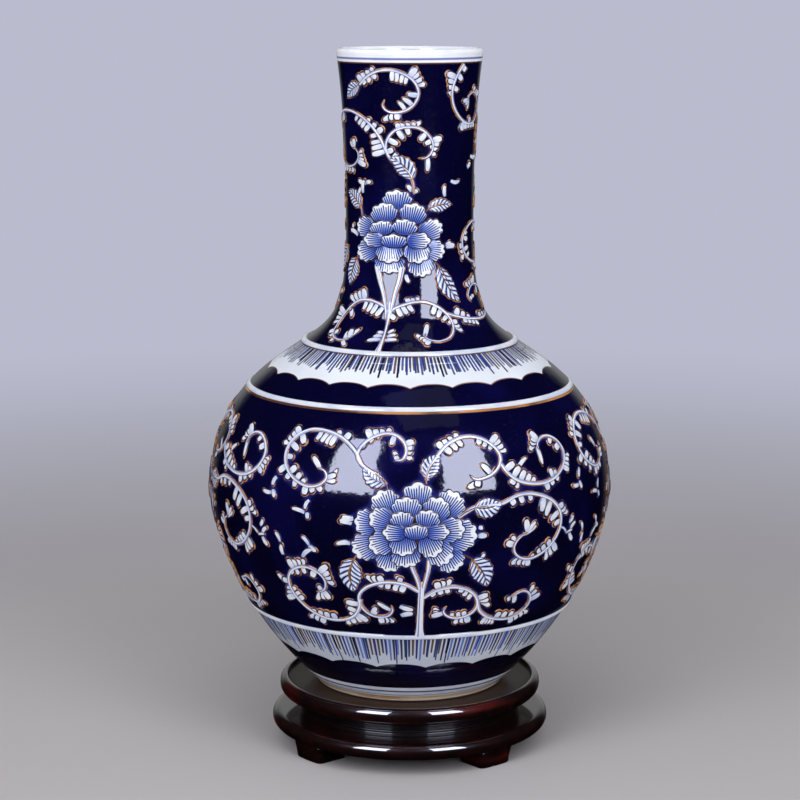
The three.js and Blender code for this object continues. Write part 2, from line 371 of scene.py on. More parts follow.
def smooth_line(knots, count):
    """A Catmull-Rom curve through the knots: each stretch leaves a knot parallel to the line between its
    neighbours. It is then cut into equal steps along the wall."""
    k = np.asarray(knots, float)
    k = np.concatenate([[2 * k[0] - k[1]], k, [2 * k[-1] - k[-2]]])
    t = np.linspace(0, 1, 24, endpoint=False)[None, :, None]
    a, b, c, d = [k[i : len(k) - 3 + i, None] for i in range(4)]
    curve = 0.5 * (2 * b + (c - a) * t + (2 * a - 5 * b + 4 * c - d) * t**2 + (3 * b - 3 * c + d - a) * t**3)
    curve = np.concatenate([curve.reshape(-1, 2), k[-2:-1]])
    steps = np.diff(curve, axis=0) * unrolled_scale(curve[1:])
    length = np.concatenate([[0], np.cumsum(np.hypot(*steps.T))])
    even = np.linspace(0, length[-1], count)
    return np.stack([np.interp(even, length, curve[:, axis]) for axis in (0, 1)], -1)


print(f"the pads reach {-UNDER} mm under the glaze")

# %% [markdown]
# ## The pattern, unrolled
#
# One unit of the belly holds a flower on a forked trunk, nine scrolls, five leaves and some sprigs, and
# it comes four times round. The neck's unit comes twice. A scroll is a smooth line through a few
# places. Leaflets sit along it in combs: a comb is given by where its first and last tips are, and
# each leaflet grows to its tip from the nearest place on the scroll.

# %% Belly: scrolls, and the combs of leaflets along them
BELLY_SCROLLS = {
    "upper_left": [(-13.2, 251), (-15.5, 262), (-18.5, 270), (-22, 275.5), (-27, 278.8), (-31.5, 278),
        (-35.3, 272), (-37.5, 263), (-37.8, 253), (-36.3, 243), (-33, 235), (-28.8, 231), (-25.2, 233.5),
        (-23.4, 239.5), (-24.3, 245), (-26.8, 247)],
    "upper_middle": [(-6.4, 236), (-8.5, 243), (-12.8, 250.5), (-15, 259), (-14, 268), (-11, 275.5),
        (-7, 279.3), (-3.6, 277.3), (-1.4, 271), (-0.9, 263.5), (-2, 257), (-4.6, 256)],
    "upper_right": [(4.7, 240), (5.2, 249), (7.8, 260), (11, 269.5), (15.5, 275), (19.5, 274.8),
        (23, 270.5), (25.8, 262.5), (26.6, 254), (25, 246), (22, 240.5), (18.4, 239), (16.6, 243.5)],
    "hanging_right": [(26.4, 250), (28.2, 242), (31.2, 235), (35.5, 231), (40, 230), (44.2, 232.5),
        (47.6, 238.5), (49.7, 247), (49.9, 255), (48.4, 262.5), (45.6, 267.5), (42.5, 267.3), (40.3, 262.5),
        (40.5, 256.5)],
    "middle_right": [(13, 209), (17.5, 216), (22, 217.5), (26, 218), (30, 222.5), (34, 223.3), (38, 220.5),
        (42, 215), (45, 206.5), (46.2, 197), (45.8, 187), (43.8, 177.5), (40.5, 170), (36.5, 166),
        (33, 167.2), (30.3, 173), (29.8, 180.5), (31.5, 187), (34.3, 190.5)],
    "lower_left": [(-14.6, 134), (-15.4, 124), (-17.5, 115.5), (-21, 110.5), (-25.5, 109), (-30, 112),
        (-34, 119), (-37, 130), (-38, 141), (-37, 151), (-34.2, 158), (-30.7, 160.7), (-27.2, 157.8),
        (-25.1, 151.5), (-24.9, 144.5), (-26.2, 139), (-28.6, 137)],
    "lower_middle": [(2.6, 143), (-1, 149.5), (-5, 152), (-9, 150.8), (-12.6, 146), (-14.8, 138),
        (-14.7, 128), (-12.8, 120), (-9.8, 116.5), (-6.8, 117.8), (-5.3, 123), (-5.5, 129)],
    "lower_right": [(4, 137), (7.5, 143.7), (11.8, 146.8), (15.8, 144.6), (19, 138.5), (20.7, 129.5),
        (20.2, 121), (17.8, 115.5), (14.3, 114), (11.4, 117.2), (10.2, 122.5), (11.2, 127.3)],
    "low_far_right": [(20.7, 129), (22, 120), (25, 112.5), (29, 108.3), (33, 106.8), (36.6, 109.3),
        (39.4, 115.6), (40.1, 123), (38.8, 130.3), (36.3, 134.3), (33.6, 132.5), (31.8, 129.3)],
}
BELLY_COMBS = {
    "upper_left": [(-22, 281.5, -17.8, 279.8, 2), (-29, 269, -23.8, 264.5, 4), (-37, 280.5, -40.3, 263, 4),
        (-32, 264, -34.6, 252.5, 3), (-32.8, 247, -29.4, 237, 3), (-39.6, 238.5, -33, 227.5, 3),
        (-29.8, 222, -24, 228, 3), (-20.3, 248, -20.2, 237.5, 3), (-28.8, 257, -28.8, 257, 1)],
    "upper_middle": [(-13.3, 284, -5.4, 284.8, 4), (-12.6, 267, -8.4, 275, 3), (1.8, 272.5, 0.5, 255.5, 4),
        (-5.6, 268, -4, 261.5, 3)],
    "upper_right": [(7.6, 272.5, 14.2, 280.5, 4), (12.3, 260.5, 16, 267, 3), (20.3, 266.5, 23.6, 261.5, 3),
        (27.4, 276, 29.4, 260, 4), (20, 252, 23.6, 246.5, 2), (15.4, 232.5, 18.6, 231.5, 2)],
    "hanging_right": [(31, 251, 37.3, 236.5, 5), (28.6, 231, 31, 227, 2), (40.6, 243.5, 44.6, 240, 3),
        (41.3, 221.5, 46.4, 229.5, 3), (52.6, 250, 51, 235, 4), (44.7, 260, 46.4, 254.5, 2),
        (38.4, 275, 36.6, 257, 4)],
    "middle_right": [(29.8, 214, 35.3, 215.5, 3), (38, 204.5, 43, 191.5, 4), (47.5, 209.5, 49.5, 199, 3),
        (41.8, 159.5, 46, 167, 3), (29, 163.5, 35.2, 157.8, 4), (36, 171, 41, 181, 4),
        (26.6, 184, 29, 190.5, 2), (33, 203.5, 37.4, 196, 2)],
    "lower_left": [(-36.6, 167, -30.4, 168.5, 4), (-35, 150.5, -30.7, 152.5, 3), (-23, 166, -21.8, 145, 4),
        (-29.2, 150, -28, 144.5, 2), (-29.4, 127.5, -24, 130, 3), (-42.2, 150, -40.8, 145, 2),
        (-35.5, 139, -33.2, 131, 3), (-40, 137, -41.2, 124.5, 3), (-31.5, 119.5, -24.6, 118.5, 4),
        (-34.6, 107.5, -29.8, 101.8, 3), (-20.2, 103.5, -12.6, 110, 4), (-20, 130.5, -19.4, 119, 3)],
    "lower_middle": [(-12.8, 158, -8.8, 160, 3), (-4, 159.5, -2.4, 158.5, 2), (-8.6, 145.5, -2.6, 141.5, 4),
        (-10, 132.5, -9.8, 124, 3), (-8.4, 108, -4.2, 111, 3)],
    "lower_right": [(7.3, 154, 12, 155.5, 3), (7.6, 137.5, 11.8, 140, 3), (14.6, 139.5, 17.2, 131.5, 3),
        (13, 121, 16.4, 122.5, 3), (13.8, 106.5, 19, 106.5, 3), (7, 127.5, 6, 117, 3),
        (24.2, 137, 25.4, 122, 3)],
    "low_far_right": [(29.6, 117.5, 34.6, 115.5, 3), (23, 104, 28, 101.8, 4), (35.4, 99.5, 42, 109.5, 4),
        (39.4, 140.5, 44.4, 128, 3), (30.2, 127, 33.6, 121.5, 2)],
}
print(len(BELLY_SCROLLS), "scrolls in a unit of the belly")

# %% Neck: scrolls and combs
NECK_SCROLLS = {
    "low_left": [(-16.5, 407), (-20, 412), (-26, 415.3), (-34, 417.3), (-43, 416.5), (-51.5, 411),
        (-57.8, 402), (-59.6, 392), (-57.3, 383), (-51.5, 377.5), (-45, 376.5), (-40, 380.5)],
    "low_right": [(-15.5, 407), (-12, 411.3), (-5, 414.6), (3, 417), (12, 417), (21, 413.5), (28, 407.3),
        (31.8, 399), (30.7, 390), (26, 382.5), (19, 378.8), (13, 380.2), (9.8, 384.2), (10.6, 388.4)],
    "low_far_right": [(29.5, 406), (37, 403), (46, 400), (57, 398), (68, 398), (78, 401), (85, 406.5),
        (87.5, 414), (83.5, 421.5), (76, 426.5), (67, 428), (60, 425), (56, 419), (59.5, 413)],
    "side": [(97, 475), (89, 480.5), (79, 482.3), (68, 481.3), (58.5, 476), (53.3, 467.5), (55, 458.5),
        (61.5, 451.5), (70, 448), (79.5, 446.8), (87, 450), (90.5, 456.5), (86.5, 462.5), (79, 462)],
    "over_flower": [(3.2, 511), (2.6, 518), (-1, 527), (-9, 533.6), (-16.3, 538.6), (-20.6, 547),
        (-19, 556), (-12.8, 562.8), (-4, 566), (6, 565.6), (14, 561), (19.6, 553.5), (19.4, 545.5),
        (14.2, 540), (7, 539.6)],
    "up_left": [(-20.4, 544), (-24.5, 554), (-31.5, 564), (-41, 572), (-52, 577), (-63, 578.6),
        (-74, 577.3), (-84.5, 573), (-92.5, 565), (-95.6, 555), (-92.5, 545), (-85, 537), (-75, 532),
        (-64, 530.7), (-55, 533.2), (-50, 539), (-52, 545), (-59.5, 547.5)],
    "top": [(-44, 601), (-38, 606.5), (-31, 611), (-22, 613.8), (-12, 613.5), (-3, 610), (4, 603.7),
        (7.2, 595), (5, 587), (-1.2, 580.8), (-9.5, 578), (-17.5, 578.6), (-22.6, 583.3), (-20.8, 589)],
    "top_right": [(47, 618.5), (41.5, 610.5), (37.8, 602), (36.6, 592), (39.5, 582), (46, 573.6),
        (54, 568.6), (63, 567.6), (71, 571.3), (75.5, 580), (72.3, 589), (65, 593.8), (58, 592), (56, 586)],
}
NECK_COMBS = {
    "low_left": [(-59, 419, -42, 428.5, 4), (-39.5, 407.5, -27, 402.5, 4), (-55.5, 411, -48, 399.5, 3),
        (-69.5, 408, -67.5, 391, 4), (-62.5, 381, -52, 371.5, 3), (-52.5, 387, -44, 388.5, 2),
        (-42.5, 391, -35, 392, 2), (-38.5, 370, -38.5, 370, 1)],
    "low_right": [(-2.5, 421.5, 7.5, 422, 3), (-9.5, 401, 3.5, 408, 4), (17, 404.5, 28, 396, 4),
        (3.5, 388, 9, 373.5, 4), (13, 398.5, 13, 398.5, 1), (37.5, 397.5, 38, 386.5, 3)],
    "low_far_right": [(41, 411.5, 51, 404, 3), (43, 394, 57, 391, 4), (64, 405, 76, 404, 3),
        (52.5, 429.5, 69, 437.5, 4), (62, 418, 72, 418, 3)],
    "side": [(60, 471.5, 66, 456.5, 4), (47, 462, 53, 449, 3), (75, 473, 84, 473, 3),
        (76, 440, 92, 443, 4)],
    "over_flower": [(-11, 570.5, 10, 571, 5), (-12.5, 547.5, 0.5, 558.5, 4), (29.5, 556.5, 22, 540, 4),
        (7.5, 553.5, 16.5, 548, 3), (-9, 539, -11, 545, 2), (15, 527, 15, 527, 1)],
    "up_left": [(-36.5, 557.5, -35, 541.5, 4), (-36, 574.5, -22, 566, 3), (-53.5, 569.5, -41.5, 561, 4),
        (-75, 524, -56, 525.5, 4), (-45, 547, -39, 532, 4), (-63, 553, -55, 556.5, 2),
        (-83, 565, -72, 568, 3), (-101, 563, -103, 548, 3)],
    "top": [(-46, 610.5, -30, 617.5, 4), (-36.5, 600.5, -26, 606, 3), (-14, 603.5, -3.5, 601, 4),
        (6, 617, 13.5, 601, 4), (-10, 588, -3, 594, 3), (-24, 571, -10, 570.5, 3)],
    "top_right": [(29, 611.5, 32.5, 592, 4), (50.5, 612, 43.5, 595, 3), (48, 586.5, 60, 574.5, 4),
        (47.5, 560.5, 72, 564, 5), (64, 600, 76.5, 596, 3)],
}
print(len(NECK_SCROLLS), "scrolls in a unit of the neck")

# %% [markdown]
# ## Setting the units round the wall
#
# The belly's painter spaced the units a little wider than a quarter at the front, and took the
# difference up at the back. The same is done here: beyond 70 degrees the turns are squeezed evenly.

# %% Repeat a unit round the wall
BELLY_PITCH = 96.0
DRAWN = np.array([-192.0, -70, 70, 192, 314])
FITTED = np.array([-180.0, -70, 70, 180, 290])


def round_belly(grids):
    """Four copies at the painter's pitch, their turns read off a broken line that squeezes the back."""
    copies = np.concatenate([grids + np.array([BELLY_PITCH * k, 0, 0]) for k in (-1, 0, 1, 2)])
    copies[..., 0] = np.interp(copies[..., 0], DRAWN, FITTED)
    return copies


def round_neck(grids):
    """Two copies, half a turn apart."""
    return np.concatenate([grids, grids + np.array([180.0, 0, 0])])


print(f"the back's units are {100 * np.diff(FITTED)[0] / np.diff(DRAWN)[0]:.0f} % as wide as the front's")

# %% [markdown]
# ## Scrolling stems
#
# A stem is a round-backed trail about four millimetres wide that narrows to its curled end.
# It gets two numbers for painting: how far across it a point is, and how far from its edge.

# %% Stems
ACROSS = np.array([-1, -0.88, -0.5, 0, 0.5, 0.88, 1])
CROWN = np.array([0, 0.5, 0.92, 1, 0.92, 0.5, 0])
NECK_FROM = 370  # pads whose mean rise is above this go round the neck, and the others round the belly
raised_work = []


def make_pads(name, grids, edge, reach, material):
    """Sets pads round the wall as one piece. edge and reach (pads, rows, columns) are painting numbers."""
    full = round_neck(grids) if grids[..., 1].mean() > NECK_FROM else round_belly(grids)
    copies = len(full) // len(grids)
    raised_work.append(full[..., :2].reshape(-1, 2))
    rows, columns = grids.shape[1:3]
    across = np.broadcast_to(np.linspace(0, 1, columns), grids.shape[:3])
    uv = np.tile(np.stack([across, reach], -1).reshape(-1, 2), (copies, 1))
    piece = make_piece(name, pad_points(full), pad_faces(len(full), rows, columns), "vase", "porcelain",
                       uv=uv, edge=np.tile(edge.ravel(), copies))
    piece.data.materials.append(material)


def stems(scrolls, half_width, lift, rows=76):
    """Half-width = w (1 - 0.22 t^3), closed beyond t = 0.92 by a quarter of an ellipse. Returns grids, edges
    and reaches."""
    t = np.linspace(0, 1, rows)
    past = np.maximum(t - 0.92, 0) / 0.081
    width = half_width * (1 - 0.22 * t**3) * np.sqrt(np.clip(1 - past**2, 0, 1))
    width = np.maximum(width, 0.08)
    spine = np.stack([smooth_line(knots, rows) for knots in scrolls.values()])
    widths = np.broadcast_to(width, spine.shape[:2])
    grids = strip(spine, widths, lift * (0.55 + 0.45 * widths / half_width), ACROSS, CROWN)
    edge = (1 - np.abs(ACROSS)) * widths[..., None]
    reach = np.broadcast_to(t[:, None], (rows, len(ACROSS)))
    return grids, edge, np.broadcast_to(reach, edge.shape)


def outlined(paint, colour, edge, gold=0.75, ink=0.75, gilding=1.0):
    """Rims a colour with a gold-brown line at the very edge and a dark line inside it. gold and ink are how
    wide the lines are, and gilding says where the outer one is gold, from 0 to 1."""
    rim = paint.shade(paint.noise(90.0), 0.38, 0.54, BROWN, GOLD)
    rim = paint.mix(gilding, INK, rim)
    colour = paint.shade(edge, gold + ink + 0.1, gold + ink - 0.15, colour, INK)
    return paint.shade(edge, gold + 0.05, gold - 0.15, colour, rim)


def fired(paint, colour):
    """Ends an enamel, whose skin is left very slightly uneven by the kiln."""
    return paint.finish(colour, paint.noise(400.0), 0.00004)


def stem_enamel():
    """White, with a thin blue line along it where the brush turned the shade."""
    paint = Paint("stem_enamel", roughness=0.16)
    white = paint.shade(paint.noise(60.0), 0.48, 0.8, WHITE, (0.62, 0.69, 0.88))
    shaded = paint.mix(paint.between(paint.u, 0.36, 0.45, 0.03) * 0.85, white, BLUE)
    return fired(paint, outlined(paint, shaded, paint.number("edge"), 0.62, 0.38))


stem_paint = stem_enamel()
belly_stems = stems(BELLY_SCROLLS, 2.25, 1.15)
neck_stems = stems(NECK_SCROLLS, 1.95, 1.05)
make_pads("belly_stems", *belly_stems, stem_paint)
make_pads("neck_stems", *neck_stems, stem_paint)

# %% [markdown]
# ## Leaflets
#
# The leaflets of a comb lie nearly parallel, like feathers. Each has a centre line that leaves the stem
# and bends over to the tip, and its outline is a rounded tongue.

# %% Leaflets
TONGUE_T = np.array([0, 0.1, 0.3, 0.52, 0.72, 0.88, 0.96, 1.0])
TONGUE_WIDTH = np.array([0.80, 0.88, 0.98, 1.0, 0.89, 0.65, 0.38, 0.06])
TYPICAL_WIDTH = 3.8
FEW_ACROSS = np.array([-1, -0.84, -0.35, 0.35, 0.84, 1])
FEW_CROWN = np.array([0, 0.8, 1, 1, 0.8, 0])


def bent_spines(start, control, tip):
    """(1-t)^2 start + 2(1-t)t control + t^2 tip, at the tongue's rows."""
    t = TONGUE_T[:, None]
    start, control, tip = [np.asarray(p)[:, None] for p in (start, control, tip)]
    return (1 - t) ** 2 * start + 2 * (1 - t) * t * control + t**2 * tip


def tongues(start, control, tip, half_width, lift):
    """Rounded tongues from start to tip. Returns grids, edges and reaches.

    The edge number is a distance as if every tongue were 3.8 mm wide from middle to side, so narrow ones
    have finer outlines. It joins the side's distance s and the end's e by (s^-2 + e^-2)^-1/2."""
    spine = bent_spines(start, control, tip)
    widths = np.asarray(half_width)[:, None] * TONGUE_WIDTH
    lifts = np.asarray(lift)[:, None] * np.array([0.5, 0.7, 0.9, 1, 1, 0.9, 0.6, 0.05])
    grids = strip(spine, widths, lifts, FEW_ACROSS, FEW_CROWN)
    length = np.hypot(*((tip - start) * unrolled_scale(tip)).T)[:, None, None]
    relative = TYPICAL_WIDTH / np.asarray(half_width)[:, None, None]
    side = np.maximum((1 - np.abs(FEW_ACROSS)) * widths[..., None] * relative, 0.01)
    end = np.maximum((1 - TONGUE_T)[:, None] * length * relative, 0.01)
    reach = np.broadcast_to(TONGUE_T[:, None], (len(TONGUE_T), len(FEW_ACROSS)))
    edge = (side**-2 + end**-2) ** -0.5
    return grids, edge, np.broadcast_to(reach, edge.shape)


def leaflets(scroll_grids, scrolls, combs, size=1.0):
    """Spreads each comb's tips evenly, and grows every leaflet from the nearest place on its stem.

    The first along the stem is the largest, lies on top and stands nearly square to the stem. The others
    start further and further back, so they lean more and more the way the stem grows."""
    starts, controls, tips, widths, lifts = [], [], [], [], []
    for grid, name in zip(scroll_grids, scrolls):
        line = grid[:, len(ACROSS) // 2, :2]
        for turn0, rise0, turn1, rise1, count in combs.get(name, []):
            ends = np.linspace((turn0, rise0), (turn1, rise1), count)
            scale = unrolled_scale(ends.mean(0))
            nearest = np.hypot(*((ends[:, None] - line[None]) * scale).transpose(2, 0, 1)).argmin(1)
            order = np.argsort(nearest)
            ends, nearest = ends[order], nearest[order]
            near = line[nearest]
            before, after = np.maximum(nearest - 2, 0), np.minimum(nearest + 2, len(line) - 1)
            ahead, _ = along_and_right((line[after] - line[before]) * scale)
            out = (ends - near) * scale
            length = np.linalg.norm(out, axis=1, keepdims=True)
            share = np.linspace(1, 0, count)[:, None] if count > 1 else np.array([[0.5]])
            pitch = np.hypot(*(ends[-1] - ends[0]) * scale) / max(count - 1, 1)
            lean = ahead * length * (0.06 + 0.42 * (1 - share))
            starts.append(near - lean / scale)
            controls.append(near + (out * 0.62 - lean * 0.75) / scale)
            tips.append(near + (out * 1.02 + ahead * length * 0.04) / scale)
            width = np.clip(pitch * 0.70, 3.2, 4.3) if count > 1 else 3.6
            widths.append(width * size * (0.90 + 0.22 * share[:, 0]))
            lifts.append(0.62 + 0.21 * np.arange(count)[::-1])
    return tongues(*[np.concatenate(parts) for parts in (starts, controls, tips, widths, lifts)])


def leaflet_enamel():
    """White, with a painted blue-grey shade towards its base, where it tucks under the next one. Its edge is
    dark, and gold at the tip.
    """
    paint = Paint("leaflet_enamel", roughness=0.16)
    white = paint.shade(paint.noise(70.0), 0.4, 0.75, WHITE, (0.60, 0.67, 0.86))
    # painted shade: blue-grey towards the leaflet's base, where it tucks under the next one
    white = paint.mix(paint.ramp(paint.v, 0.42, 0.05) * 0.45, white, SHADE)
    tips = paint.ramp(paint.v, 0.50, 0.72)
    return fired(paint, outlined(paint, white, paint.number("edge"), 0.72, 0.78, tips))


leaflet_paint = leaflet_enamel()
make_pads("belly_leaflets", *leaflets(belly_stems[0], BELLY_SCROLLS, BELLY_COMBS), leaflet_paint)
make_pads("neck_leaflets", *leaflets(neck_stems[0], NECK_SCROLLS, NECK_COMBS, 0.92), leaflet_paint)

# %% [markdown]
# ## Loose sprigs
#
# Small curved drops of enamel fill the gaps between the scrolls. Each is one tongue, given by where it
# starts, where its tip is, how wide it is and how far it bows to its right.

# %% Sprigs
BELLY_DROPS = [
    (-28.2, 219.5, -29.3, 210, 1.9, 1.5), (-29.6, 208.5, -34.2, 210.5, 1.9, 1.2),
    (-28.9, 209, -28.3, 202.5, 2.3, 0), (-39.8, 235, -40.8, 225.5, 2.2, 1.2),
    (-41, 221.5, -44.8, 222.8, 2.0, -1.2), (-40.6, 224, -39.3, 216.5, 2.3, 0.8),
    (-38.4, 180, -40.4, 188.5, 1.9, 1.5), (-37.9, 168.5, -37.6, 179.5, 2.3, -1.6),
    (-28.6, 181, -31.3, 188.5, 1.9, 1.4), (-28.6, 180.5, -25.8, 176.5, 2.2, 1),
    (-31.2, 169, -27, 177.8, 2.2, -2.2), (-15.2, 207.5, -19, 209.5, 2.6, -1.4),
    (-15.6, 203.5, -19.8, 203.5, 3.0, 1.6), (-16.2, 186, -20.8, 183.5, 2.2, 1.6),
    (18.8, 199.5, 20.4, 198.6, 2.0, 0.4), (18.7, 192, 21.8, 192.6, 2.4, 0.5),
    (20, 172.5, 20.8, 177.5, 1.7, 0.6), (46.3, 189, 49.2, 182, 1.1, -1.4),
    (49, 182, 52.2, 183.5, 1.2, -0.8), (51, 184.5, 53.6, 190.5, 2.0, -1.4),
    (50.8, 181, 53.2, 173.5, 2.4, 1.2), (50.2, 191, 51.6, 198.5, 2.0, 1.5), (34.2, 190, 37, 199.5, 2.0, -1),
    (-2.9, 128, 1.9, 124.5, 2.6, 1), (-2.7, 118, 1.9, 120.5, 2.8, -1),
    (31.4, 243.5, 35.8, 253.5, 2.1, -1.6),
]
NECK_DROPS = [
    (32.5, 506.5, 33.2, 517.5, 2.0, -1.6), (38.5, 519.5, 50, 520.5, 1.9, 2.0),
    (60.5, 530, 65.5, 536, 2.7, 1), (66.5, 539, 82, 539.5, 2.2, 1.6), (-45, 509, -41.5, 521.5, 2.1, -1.8),
    (-41.5, 517.5, -52, 521, 2.3, -1.2), (-41, 517.5, -34, 517.5, 2.1, -1.2),
    (33.5, 465.5, 38, 469.5, 1.8, 1.4), (33.5, 463.5, 45, 462.8, 2.8, -1),
    (-52.5, 472, -66, 474.5, 2.3, 2.2), (-60, 476.5, -57, 482, 1.9, -1.4),
    (-53, 506.5, -47.5, 515, 1.7, 1.0), (-17.4, 388.5, -22.4, 387.4, 1.6, 0.8),
    (-17.8, 385.0, -24.6, 382.8, 1.8, 0.9), (-18.2, 381.0, -27.8, 377.6, 2.0, 1.2),
    (-14.2, 388.0, -9.4, 391.6, 1.6, -0.8), (-14.6, 384.2, -7.6, 386.2, 1.8, -0.9),
    (-15.2, 380.2, -6.6, 380.2, 2.0, -1.2), (1.5, 511.5, -3.5, 517.5, 2.1, 0.6),
    (2.5, 511.5, 8.2, 513.5, 2.3, 0.6), (87, 505, 92, 516, 2.2, 2), (93, 516, 104, 520, 2.2, -1.6),
    (98, 420, 107, 424, 2.4, 1.4), (96, 415, 100, 408, 2.4, -1.2), (-3, 440.5, 1, 433, 1.9, 1.2),
]


def drops(rows):
    """One tongue for each row, bowed at the middle by its last number."""
    table = np.array(rows, float)
    start, tip = table[:, :2], table[:, 2:4]
    _, right = along_and_right((tip - start) * unrolled_scale(start))
    control = moved((start + tip) / 2, right, 2 * table[:, 5])
    return tongues(start, control, tip, 1.4 * table[:, 4], np.full(len(table), 0.85))


make_pads("belly_sprigs", *drops(BELLY_DROPS), leaflet_paint)
make_pads("neck_sprigs", *drops(NECK_DROPS), leaflet_paint)

# %% [markdown]
# ## Leaves
#
# A leaf is a wider pad with a groove down its middle and a wavy edge. Its veins are painted: they run
# from the midrib out and forward, so a stripe is counted along the leaf, less a share of the distance
# from the midrib.

# %% Leaves
BELLY_LEAVES = [
    (-6.4, 237, -12.9, 250.5, 7.6, -3), (4.6, 241, 8.6, 261.5, 8.4, -2), (17.4, 215.8, 25.8, 218.5, 9.2, 2),
    (-15.5, 172.5, -16.2, 141, 10.8, 3), (17.3, 171.5, 22.8, 144.5, 10.6, -2.5),
]
NECK_LEAVES = [
    (16, 496.5, 40, 499.5, 6.6, -1.5), (25.5, 446.5, 44.5, 414.5, 8.6, 2), (3, 521.5, -17.5, 540.5, 8.4, 3),
    (-47.5, 496.5, -68, 509.5, 8.2, 1.5), (-54, 452, -60.5, 428, 9.4, 2), (-43.5, 601, -62, 588.5, 7.0, 2),
    (108, 462, 97, 437, 8.0, 2), (101, 500, 82, 494, 7.0, 2),
]
LEAF_ROWS = 26
LEAF_ACROSS = np.array([-1, -0.93, -0.7, -0.4, -0.12, 0, 0.12, 0.4, 0.7, 0.93, 1])
LEAF_CROWN = np.array([0, 0.55, 0.9, 1, 0.86, 0.62, 0.86, 1, 0.9, 0.55, 0])


def leaves(rows):
    """Half-width = w sin(pi t^0.8)^0.75 (1 + 0.07 cos 11 pi t): full near the base, pointed, wavy-edged."""
    table = np.array(rows, float)
    t = np.linspace(0, 1, LEAF_ROWS)
    start, tip = table[:, None, :2], table[:, None, 2:4]
    steps = (tip - start) * unrolled_scale(start)
    length = np.linalg.norm(steps, axis=-1, keepdims=True)
    _, right = along_and_right(steps)
    straight = start + (tip - start) * t[None, :, None]
    spine = moved(straight, right, np.sin(np.pi * t) * table[:, 5:6])
    outline = np.sin(np.pi * t**0.8) ** 0.75 * (1 + 0.07 * np.cos(11 * np.pi * t))
    widths = np.maximum(table[:, 4:5] * outline, 0.25)
    grids = strip(spine, widths, np.full(widths.shape, 1.15), LEAF_ACROSS, LEAF_CROWN)
    edge = (1 - np.abs(LEAF_ACROSS)) * widths[..., None]
    ends = np.minimum(t, 1 - t)[None, :, None] * length + 0.2
    reach = np.broadcast_to(t[:, None], (LEAF_ROWS, len(LEAF_ACROSS)))
    return grids, np.minimum(edge, ends), np.broadcast_to(reach, edge.shape)


def leaf_enamel():
    """White, with blue shading and dark veins on the slant, and a brown midrib. The 9 only keeps the number
    whose fraction is taken above nothing."""
    paint = Paint("leaf_enamel", roughness=0.16)
    from_rib = abs(paint.u - 0.5)
    stripe = abs((paint.v * 7.0 - from_rib * 4.2 + 9.0).fraction() - 0.5)
    colour = paint.shade(stripe, 0.08, 0.30, WHITE, (0.36, 0.47, 0.84))
    colour = paint.shade(stripe, 0.30, 0.38, colour, INK)
    colour = paint.shade(from_rib, 0.065, 0.035, colour, BROWN)
    return fired(paint, outlined(paint, colour, paint.number("edge"), 0.75, 0.7))


leaf_paint = leaf_enamel()
make_pads("belly_leaves", *leaves(BELLY_LEAVES), leaf_paint)
make_pads("neck_leaves", *leaves(NECK_LEAVES), leaf_paint)

# %% [markdown]
# ## Trunks and stalks
#
# The flower stands on a trunk that forks under it. The trunk is one wide pad, and its two arms come down
# from the flower and sink into the trunk's top end. Thin brown stalks tie the leaves to the flower.

# %% Trunks and stalks
BELLY_TRUNK = [[(3.3, 93), (3.2, 105), (3.2, 125), (3.3, 140), (3.35, 152.5)]]
BELLY_ARMS = [[(0.2, 173), (0.9, 165), (1.8, 158), (2.6, 150), (2.9, 142)],
              [(5.4, 173), (5.2, 165), (4.8, 158), (4.2, 150), (3.9, 142)]]
NECK_TRUNK = [[(-17.4, 364), (-17, 372), (-16.3, 390), (-16, 405), (-16.2, 417)]]
NECK_ARMS = [[(-29, 447), (-26, 436), (-22, 424), (-19, 412), (-17.6, 402)],
             [(-6.5, 447), (-8.5, 436), (-12, 424), (-14, 412), (-15, 402)]]
BELLY_STALKS = [
    [(-6, 232), (-6.2, 235.5), (-7.8, 241.5), (-10.5, 247)],
    [(4.5, 237), (4.8, 244), (6, 251.5), (7.9, 258)],
    [(13.2, 209.5), (15.6, 213.8), (18.5, 216.3), (23, 217)],
    [(-14.5, 176), (-15.6, 171), (-17.2, 160), (-17, 148)],
    [(14.8, 176), (17, 172.5), (18.6, 166), (21, 154)],
]
NECK_STALKS = [
    [(13, 494), (18, 497), (26, 499.8), (36, 500.2)], [(22, 451), (27, 446), (32, 437), (40, 422)],
    [(3.6, 509), (2.8, 518), (-1, 527), (-9, 534)], [(-46, 489), (-48, 497), (-54, 503), (-63, 508)],
    [(-51, 455), (-54, 450), (-58, 442), (-60.5, 433)],
]


def trail(lines, profile, lift, rows=40):
    """Pads along smooth lines. profile is the half-width at even steps, and the far end sinks to 0.3 lift."""
    t = np.linspace(0, 1, rows)
    spine = np.stack([smooth_line(knots, rows) for knots in lines])
    widths = np.broadcast_to(np.interp(t, np.linspace(0, 1, len(profile)), profile), spine.shape[:2])
    sinking = np.interp(t, [0, 0.78, 0.95, 1], [1, 1, 0.45, 0.3])
    grids = strip(spine, widths, np.broadcast_to(lift * sinking, widths.shape), ACROSS, CROWN)
    edge = (1 - np.abs(ACROSS)) * widths[..., None]
    return grids, edge, np.broadcast_to(t[:, None], edge.shape)


def stalk_enamel():
    """The brown of the outlines, which turns gold in places."""
    paint = Paint("stalk_enamel", roughness=0.2)
    return fired(paint, paint.shade(paint.noise(80.0), 0.4, 0.65, BROWN, GOLD))


